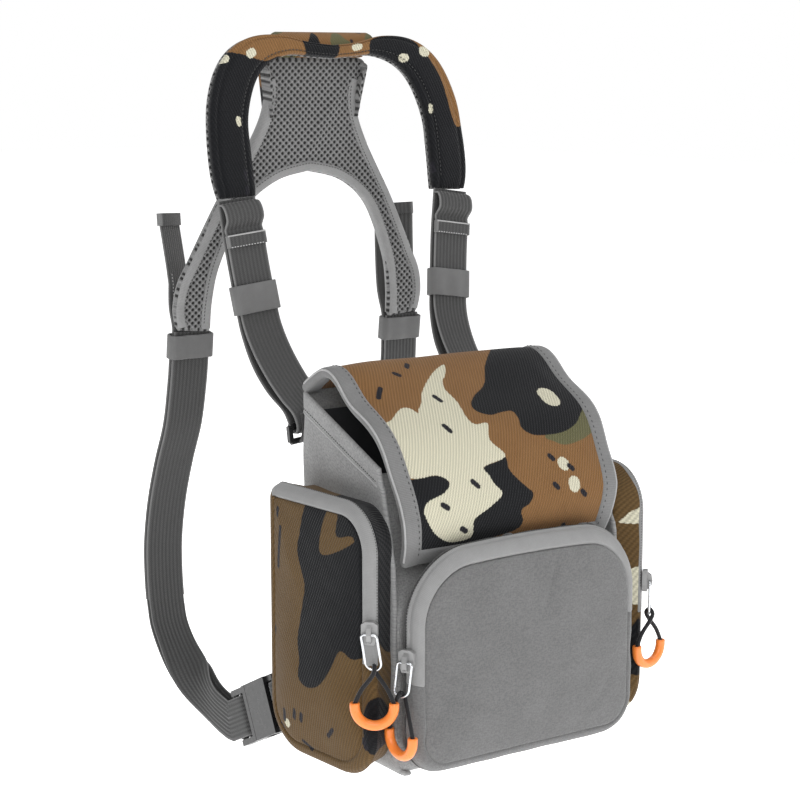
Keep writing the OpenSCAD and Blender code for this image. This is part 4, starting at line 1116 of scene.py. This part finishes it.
def pillow(outer, inner, y0, y1, count, ends=7.0, power=0.5):
    """A padded strip between two outlines, from y0 at its front to y1 at its back."""
    t = np.linspace(0, 2 * pi, count, endpoint=False)
    w = 0.5 + 0.5 * np.sign(np.cos(t)) * np.abs(np.cos(t)) ** 0.75
    h = np.sign(np.sin(t)) * np.abs(np.sin(t)) ** power
    run = measure((outer + inner) / 2)
    near = np.minimum(run, run[-1] - run)
    cap = np.sqrt(1 - (1 - np.clip(near / ends, 0.02, 1)) ** 2)
    flat = outer[:, None] * (1 - w[None, :, None]) + inner[:, None] * w[None, :, None]
    y = (y0 + y1) / 2 - (y1 - y0) / 2 * h[None, :] * cap[:, None]
    v = np.stack([flat[..., 0], y, flat[..., 1]], -1)
    n = len(run)
    return v, w, h, grid(n, count, 0, False, True) + [list(range(count)), list(range((n - 1) * count, n * count))]


v, w, h, faces = pillow(outer, inner, -0.8, 6.6, 72)
stitch_line = np.where(h > 0, np.exp(-((w - 0.82) / 0.035) ** 2) + np.exp(-((w - 0.16) / 0.035) ** 2), 0)
v[..., 1] += 0.9 * stitch_line[None, :] - 0.5 * ripple(v.reshape(-1, 3), 34).reshape(v.shape[:2]) * np.abs(h)[None, :]
local = v.reshape(-1, 3)
pad_geo = (leaning(local, *PAD_AT), faces, {"weave": local[:, [0, 2, 1]],
           **layers(np.stack([local[:, 0], 100 - local[:, 2]], 1), **PAD_PRINT)})
make("shoulder_pad_arch", pad_geo, CAMO, "pack", ["shoulder_pads"])
share = 0.8
row = outer * (1 - share) + inner * share
row = leaning(np.stack([row[:, 0], np.full(300, -0.35), row[:, 1]], 1), *PAD_AT)
make("shoulder_pad_stitches", stitches(row[6:-6], (0, -1, 0), 2.6, 1.6, 0.28), THREAD_DARK, "pack")
v, w, h, faces = pillow(outer * 0.995 + inner * 0.005, inner * 0.995 + outer * 0.005, 5.6, 8.2, 72, 5.0, 0.35)
local = v.reshape(-1, 3)
make("shoulder_pad_mesh", (leaning(local, *PAD_AT), faces, {"weave": local[:, [0, 2, 1]]}), MESH, "pack",
     ["shoulder_mesh"])
neck = even(spline([[134, 391], [139, 399.2], [146, 402.2], [152, 399], [155.5, 389]], 6), 30)
x, s = np.meshgrid(np.linspace(-34, 34, 60), np.arange(30), indexing="ij")
pinch = 1 - 0.05 * np.sin(pi * s / 29)
p = np.stack([x * pinch, neck[s, 0], neck[s, 1]], -1)
weave = np.stack([x, measure(neck)[s], 0 * x], -1)
make("neck_saddle", slab(p, 3.4, (0, 145, 380), weave,
                         extra=layers(weave[..., :2], **scattered(3, -40, 40, 0, 30, 26))),
     CAMO, "pack")

YOKE_OUTER = [[88, 2], [89.5, 14], [87, 28], [80, 42], [71, 60], [61, 79], [50, 97], [40, 114], [33, 130], [31, 144],
              [33.5, 156], [36, 163], [18, 165], [0, 165]]
YOKE_INNER = [[68, 0], [67, 18], [62, 41], [46, 74], [24, 91], [0, 97]]
outer, inner = whole(YOKE_OUTER, 420), whole(YOKE_INNER, 420)
w = np.linspace(0.01, 0.99, 60)[None, :, None]
flat = outer[:, None] * (1 - w) + inner[:, None] * w
x, z = flat[..., 0], flat[..., 1]


def holes(x, z, px=4.4, pz=4.2):
    d = [np.hypot((((x / px + k) % 1) - 0.5) * px, (((z / pz + k) % 1) - 0.5) * pz) for k in (0, 0.5)]
    return np.exp(-((np.minimum(*d) / 1.15) ** 4))


fold = np.exp(-(((x - 0.55 * (z - 110)) / 5) ** 2)) * smooth((z - 98) / 20) * 1.3
squeeze = 0.5 * np.sin(z * 2 * pi / 3.2) * smooth((z - 146) / 8)
breadth = np.linalg.norm(outer - inner, axis=1)[:, None]
rim = np.minimum(w[..., 0], 1 - w[..., 0]) * breadth
dent = (0.9 * holes(x, z) * (1 - smooth((z - 150) / 8)) - 0.6 * squeeze * smooth((rim - 6) / 6)) * smooth((rim - 3) / 2)
wave = 0.4 * ripple(np.stack([x, 0 * x, z], -1).reshape(-1, 3), 40).reshape(x.shape)
p = leaning(np.stack([x, wave - fold * smooth(rim / 8), z], -1), *YOKE_AT)
make("yoke_mesh_sheet", slab(p, 4.8, (0, 400, 300), np.stack([x, z, 0 * x], -1), relief=dent), MESH, "pack",
     ["yoke_mesh"])
p = leaning(np.stack([x, 6.6 + 0.3 * np.sin(x / 9) * np.cos(z / 13), z], -1)[::2], *YOKE_AT)
weave = np.stack([x, z, 0 * x], -1)[::2]
make("yoke_back_cloth", slab(p, 1.6, (0, 0, 300), weave,
                             extra=layers(weave[..., :2], **scattered(9, -90, 90, 0, 165, 36))), CAMO,
     "pack", ["yoke_cover"])


def yoke_edge(half, other, keep=None):
    """Binding and its stitches along an outline of the yoke; other is the outline across the sheet."""
    h = spline(half, 8)
    if keep:
        h = h[h[:, 1] < keep]
        runs = [h * [-1, 1], h]
    else:
        runs = [np.concatenate([h * [-1, 1], h[::-1][1:]])]
    geos, seams = [], []
    for line in runs:
        line = even(line, 160)
        t = unit(np.gradient(line, axis=0))
        n = np.stack([t[:, 1], -t[:, 0]], 1)
        nearest = other[np.argmin(np.linalg.norm(line[:, None] - other[None], axis=2), axis=1)]
        if np.sum(n * (nearest - line)) < 0:
            n = -n
        c = line + n * 2.0
        path = leaning(np.stack([c[:, 0], np.full(160, 3.2), c[:, 1]], 1), *YOKE_AT)
        side = leaning(np.stack([n[:, 0], 0 * n[:, 0], n[:, 1]], 1), 0, 0, YOKE_AT[2])
        geos.append(sweep(path, side, oblong(6.4, 8.2, 2.2, 4)))
        c = line + n * 4.0
        row = leaning(np.stack([c[:, 0], np.full(160, -0.95), c[:, 1]], 1), *YOKE_AT)
        seams.append(stitches(row[2:-2], (0, -1, 0), 2.2, 1.4, 0.25))
    return geos, seams


tape_o, seam_o = yoke_edge(YOKE_OUTER, inner, 152)
tape_i, seam_i = yoke_edge(YOKE_INNER, outer)
make("yoke_edge_tape", merge(*tape_o, *tape_i), BINDING_LIGHT, "pack", ["yoke_binding"])
make("yoke_edge_stitches", merge(*seam_o, *seam_i), THREAD_DARK, "pack")

# ---- Front straps ----

WEB_W, WEB_T = 26, 1.8
RIBBED = ribbed(WEB_W, WEB_T)
STRAP_DOWN = [[117.5, 305.5], [116.6, 295], [115.4, 282], [113, 265], [109.8, 247], [106, 228], [97, 210], [83, 196.5]]
STRAP_TURN = [[67, 187.5], [61.2, 180], [56.4, 175.8], [52.6, 179.5], [56, 187]]
STRAP_UP = [[68, 194], [81, 204], [93.6, 217.4], [102.2, 232], [105.8, 248], [109, 266], [111.4, 284]]
STRAP_CURL = [[111.2, 285], [112.6, 288.4], [111.6, 290.5], [109, 294.6], [110, 299.6], [113, 303], [116.8, 303]]
KEEPER_Z = 247


def hung(geo, x, lean):
    """Leans a strap's geometry about Y at the keeper, and moves it to x."""
    c, s = cos(radians(lean)), sin(radians(lean))
    v = np.asarray(geo[0], float)
    z = v[:, 2] - KEEPER_Z
    return np.stack([x + v[:, 0] * c + z * s, v[:, 1], KEEPER_Z - v[:, 0] * s + z * c], 1), geo[1], geo[2]


def flat(line, n=8):
    p = spline(line, n)
    return np.stack([0 * p[:, 0], p[:, 0], p[:, 1]], 1)


def hem_block(top, bottom, side, thick=3.6):
    """The folded end of a strap."""
    return sweep(np.linspace(top, bottom, 8), side, oblong(WEB_W + 0.3, thick, 1.2, 4))


def sleeve(w, t, long, thick=1.2):
    """A keeper: a flat closed band of elastic, drawn upright about the origin."""
    corner, r = 2.4, 2.4 + thick / 2
    loop = np.array([[sx * (w / 2 - corner) + r * cos(a), sy * (t / 2 - corner) + r * sin(a), 0.0]
                     for sx, sy, a0 in ((1, 1, 0), (-1, 1, 90), (-1, -1, 180), (1, -1, 270))
                     for a in (radians(a0 + 90 * k / 6) for k in range(7))])
    loop = even(np.concatenate([loop, loop[:1]]), 121)[:-1]
    loop[:, 1] += 0.35 * np.sin(loop[:, 0] * 0.5) * np.sign(loop[:, 1])
    return sweep(loop, (0, 0, 1), oblong(long, thick, 0.55, 3), True)


def tilted(geo, at, lean):
    """Turns geometry about X by lean degrees, and moves it to a point."""
    c, s = cos(radians(lean)), sin(radians(lean))
    v = np.asarray(geo[0], float)
    turned = np.stack([v[:, 0], v[:, 1] * c - v[:, 2] * s, v[:, 1] * s + v[:, 2] * c], 1)
    return turned + at, geo[1], geo[2]


X = (1, 0, 0)
HUNG_AT = (("right", 69, 8), ("left", -71, -6))
HEM_SEAM_Z = 281.2 - 2.2
HEM_FACE = 108.55 + (HEM_SEAM_Z - 281.2) * 0.14
for name, x, lean in HUNG_AT:
    run = flat(STRAP_DOWN + STRAP_TURN + STRAP_UP)
    hem_at = np.array([0, 110.4, 282])
    along = np.array([0, sin(radians(8)), cos(radians(8))])
    hem_geo = hem_block(hem_at - along * 3.6, hem_at + along * 3.6, X)
    geo = merge(sweep(run, X, RIBBED), hem_geo, sweep(flat(STRAP_CURL), X, RIBBED))
    make(name + "_strap_webbing", hung(geo, x, lean), WEBBING, "pack", [name + "_front_strap"])
    edge = [[q, HEM_FACE, HEM_SEAM_Z] for q in np.linspace(-12, 12, 9)]
    make(name + "_strap_hem_stitches", hung(stitches(edge, (0, -1, 0.1), 1.9, 1.2, 0.35), x, lean), THREAD,
         "pack")
    top_edge = [[q, 109.35, 285.6] for q in np.linspace(-12.6, 12.6, 9)]
    make(name + "_strap_hem_edge", hung(tube(top_edge, 0.5, (0, 1, 0)), x, lean), PIPING, "pack")
    make(name + "_strap_keeper", hung(tilted(sleeve(WEB_W + 1.2, 7.4, 17), (0, 107.8, 247.5), -10.4), x, lean), ELASTIC,
         name + "_front_keeper", [name + "_front_keeper"])
tab_line = flat([[50.0, 188], [49.9, 180], [52, 174], [56, 170.4], [59.6, 169.2]], 6)
tabs = [hung(sweep(tab_line, X, ribbed(22, 1.6, 8)), x, lean) for _, x, lean in HUNG_AT]
make("top_webbing_tabs", merge(*tabs), WEBBING, "pack", ["top_tabs"])
tab_rows = [hung(stitches([[q, 51.2, z] for q in np.linspace(-9, 9, 7)], (0, 1, 0), 2.0, 1.3, 0.3), x, lean)
         for _, x, lean in HUNG_AT for z in (186, 179)]
make("top_tab_stitches", merge(*tab_rows), THREAD_DARK, "pack")
paint("top_rings", BLACK, 0.4)

# ---- Rear straps and buckles ----

REAR = np.array([[-78, 174.5, 221], [-78.6, 176.5, 205], [-79.2, 178.5, 188], [-80, 184, 162], [-81.5, 194, 136],
                 [-83, 201.5, 110], [-84, 205.5, 84], [-84, 206, 62], [-84, 204.4, 46]])
LOOP = [[-84, 204.4, 46], [-84, 203.4, 41], [-84, 199.4, 29], [-83.6, 189, 16], [-83.2, 173.5, 4.5], [-82.8, 155, -4.5],
        [-82.4, 137, -10.5], [-82, 119.6, -13.4]]
TAIL = [[-80, 182.5, 238], [-81.5, 186.5, 263], [-83.5, 190, 287]]
LEAN, REAR_GAP = radians(26.6), 3.6
ACROSS = np.array([0, sin(LEAN), cos(LEAN)])


def square(p, side, d):
    """The points of p moved by d, square to the path and to its width."""
    a = unit(np.gradient(p, axis=0))
    side = np.broadcast_to(np.asarray(side, float), p.shape)
    u = np.cross(a, unit(side - np.sum(side * a, 1, keepdims=True) * a))
    return p + u * np.asarray(d, float).reshape(-1, 1)


def on(x, y):
    return np.array([-82 + x, 66 + y * cos(LEAN), 13.5 - y * sin(LEAN)])


out = np.array([-1.0, 0, 0])
near = spline(square(REAR, out, [-REAR_GAP / 2]), 8)
far = spline(np.concatenate([TAIL[::-1], square(REAR, out, [REAR_GAP / 2])]), 8)
angle = radians(35) * np.clip((13 - np.arange(len(far)) / 2) / 7, 0, 1)
turned = np.stack([-np.cos(angle), -np.sin(angle), 0 * angle], 1)
hem_geo = hem_block(far[0] + [0, 0.5, 5.6], far[0] - [0, 0.3, 2], turned[0], 3.8)
rear_geo = merge(sweep(near, out, RIBBED), sweep(far, turned, RIBBED), hem_geo)
line = far + turned * 9.0
face = np.cross(unit(np.gradient(far, axis=0)), turned)
rear_seam = stitches((line + face * 1.15)[10:-4], face[10:-4], 2.0, 1.2, 0.26)
rear_seam2 = stitches((line - face * 1.15)[10:-4], -face[10:-4], 2.0, 1.2, 0.26)
way = spline(LOOP, 8)
n = len(way) - 1
e = smooth((np.arange(n + 1) / n - 0.25) / 0.6)[:, None]
turn_side = (1 - e) * out - e * ACROSS
reach = REAR_GAP / 2 + (np.arange(n + 1) / n) ** 2 * 1.6
legs = [square(way, turn_side, s * reach) for s in (-1, 1)]
bar = spline([on(-3.3, 51), on(-3, 42), on(-2.1, 39.9), on(0, 39), on(2.1, 39.9), on(3, 42), on(3.3, 51)], 5)
path = np.concatenate([legs[0], bar, legs[1][::-1]])
widths = np.concatenate([turn_side, np.broadcast_to(-ACROSS, bar.shape), turn_side[::-1]])
loop_geo = sweep(path, widths, ribbed(WEB_W - 1, WEB_T))
tab = spline([[-75.8, 42.5, 26], [-76.8, 49, 22.6], on(2.8, -7), on(3.2, 0), on(2.2, 2.2), on(0, 3.2), on(-2.2, 2.2),
              on(-3.2, 0), on(-1.4, -8), [-78.8, 49, 22.4], [-77.8, 42.5, 26]], 5)
tab_geo = sweep(tab, ACROSS, ribbed(WEB_W - 1, 1.5))
keeper_geo = tilted(sleeve(WEB_W + 1.6, 7.4, 15), (-78.4, 175.5, 212), 6.8)
for name, flip in (("left", lambda geo: geo), ("right", mirrored)):
    make(name + "_rear_webbing", flip(rear_geo), WEBBING, "pack", [name + "_rear_strap"])
    make(name + "_rear_seam", flip(merge(rear_seam, rear_seam2)), THREAD, "pack")
    make(name + "_rear_sleeve", flip(keeper_geo), ELASTIC, name + "_rear_keeper", [name + "_rear_keeper"])
    ends = [world(flip((np.array([q]), 0, 0))[0][0]) for q in ([-84, 204, 44], [-82.8, 155, -4.5])]
    make(name + "_buckle_webbing", flip(loop_geo), WEBBING, None, [name + "_strap_loop"],
         blend=("pack", name + "_plug", *ends))
    for part in ("_socket", "_plug", "_upper_prong", "_lower_prong"):
        paint(name + part, BLACK, 0.7)
make("side_webbing_tabs", merge(tab_geo, mirrored(tab_geo)), WEBBING, "pack", ["side_tabs"])
paint("base_board", BOARD, 0.5)

# ---- The cords' routes, measured ----

for piece, route, grip in cord_pieces:
    path = world(route)
    float(measure(path)[-1])

# ---- Floor ----

mesh = bpy.data.meshes.new("floor")
drop = BASE + np.array([0, 0, -0.075])
mesh.from_pydata([(drop + [x, y, 0]).tolist() for x, y in ((-6, -6), (6, -6), (6, 9), (-6, 9))], [], [[0, 1, 2, 3]])
mesh.materials.append(plain("pale_floor", "#fafafa", 0.9, 0.01, 0.01,
                            Emission_Color=(1, 1, 1, 1), Emission_Strength=0.95))
add("floor", mesh)

bpy.context.view_layer.update()
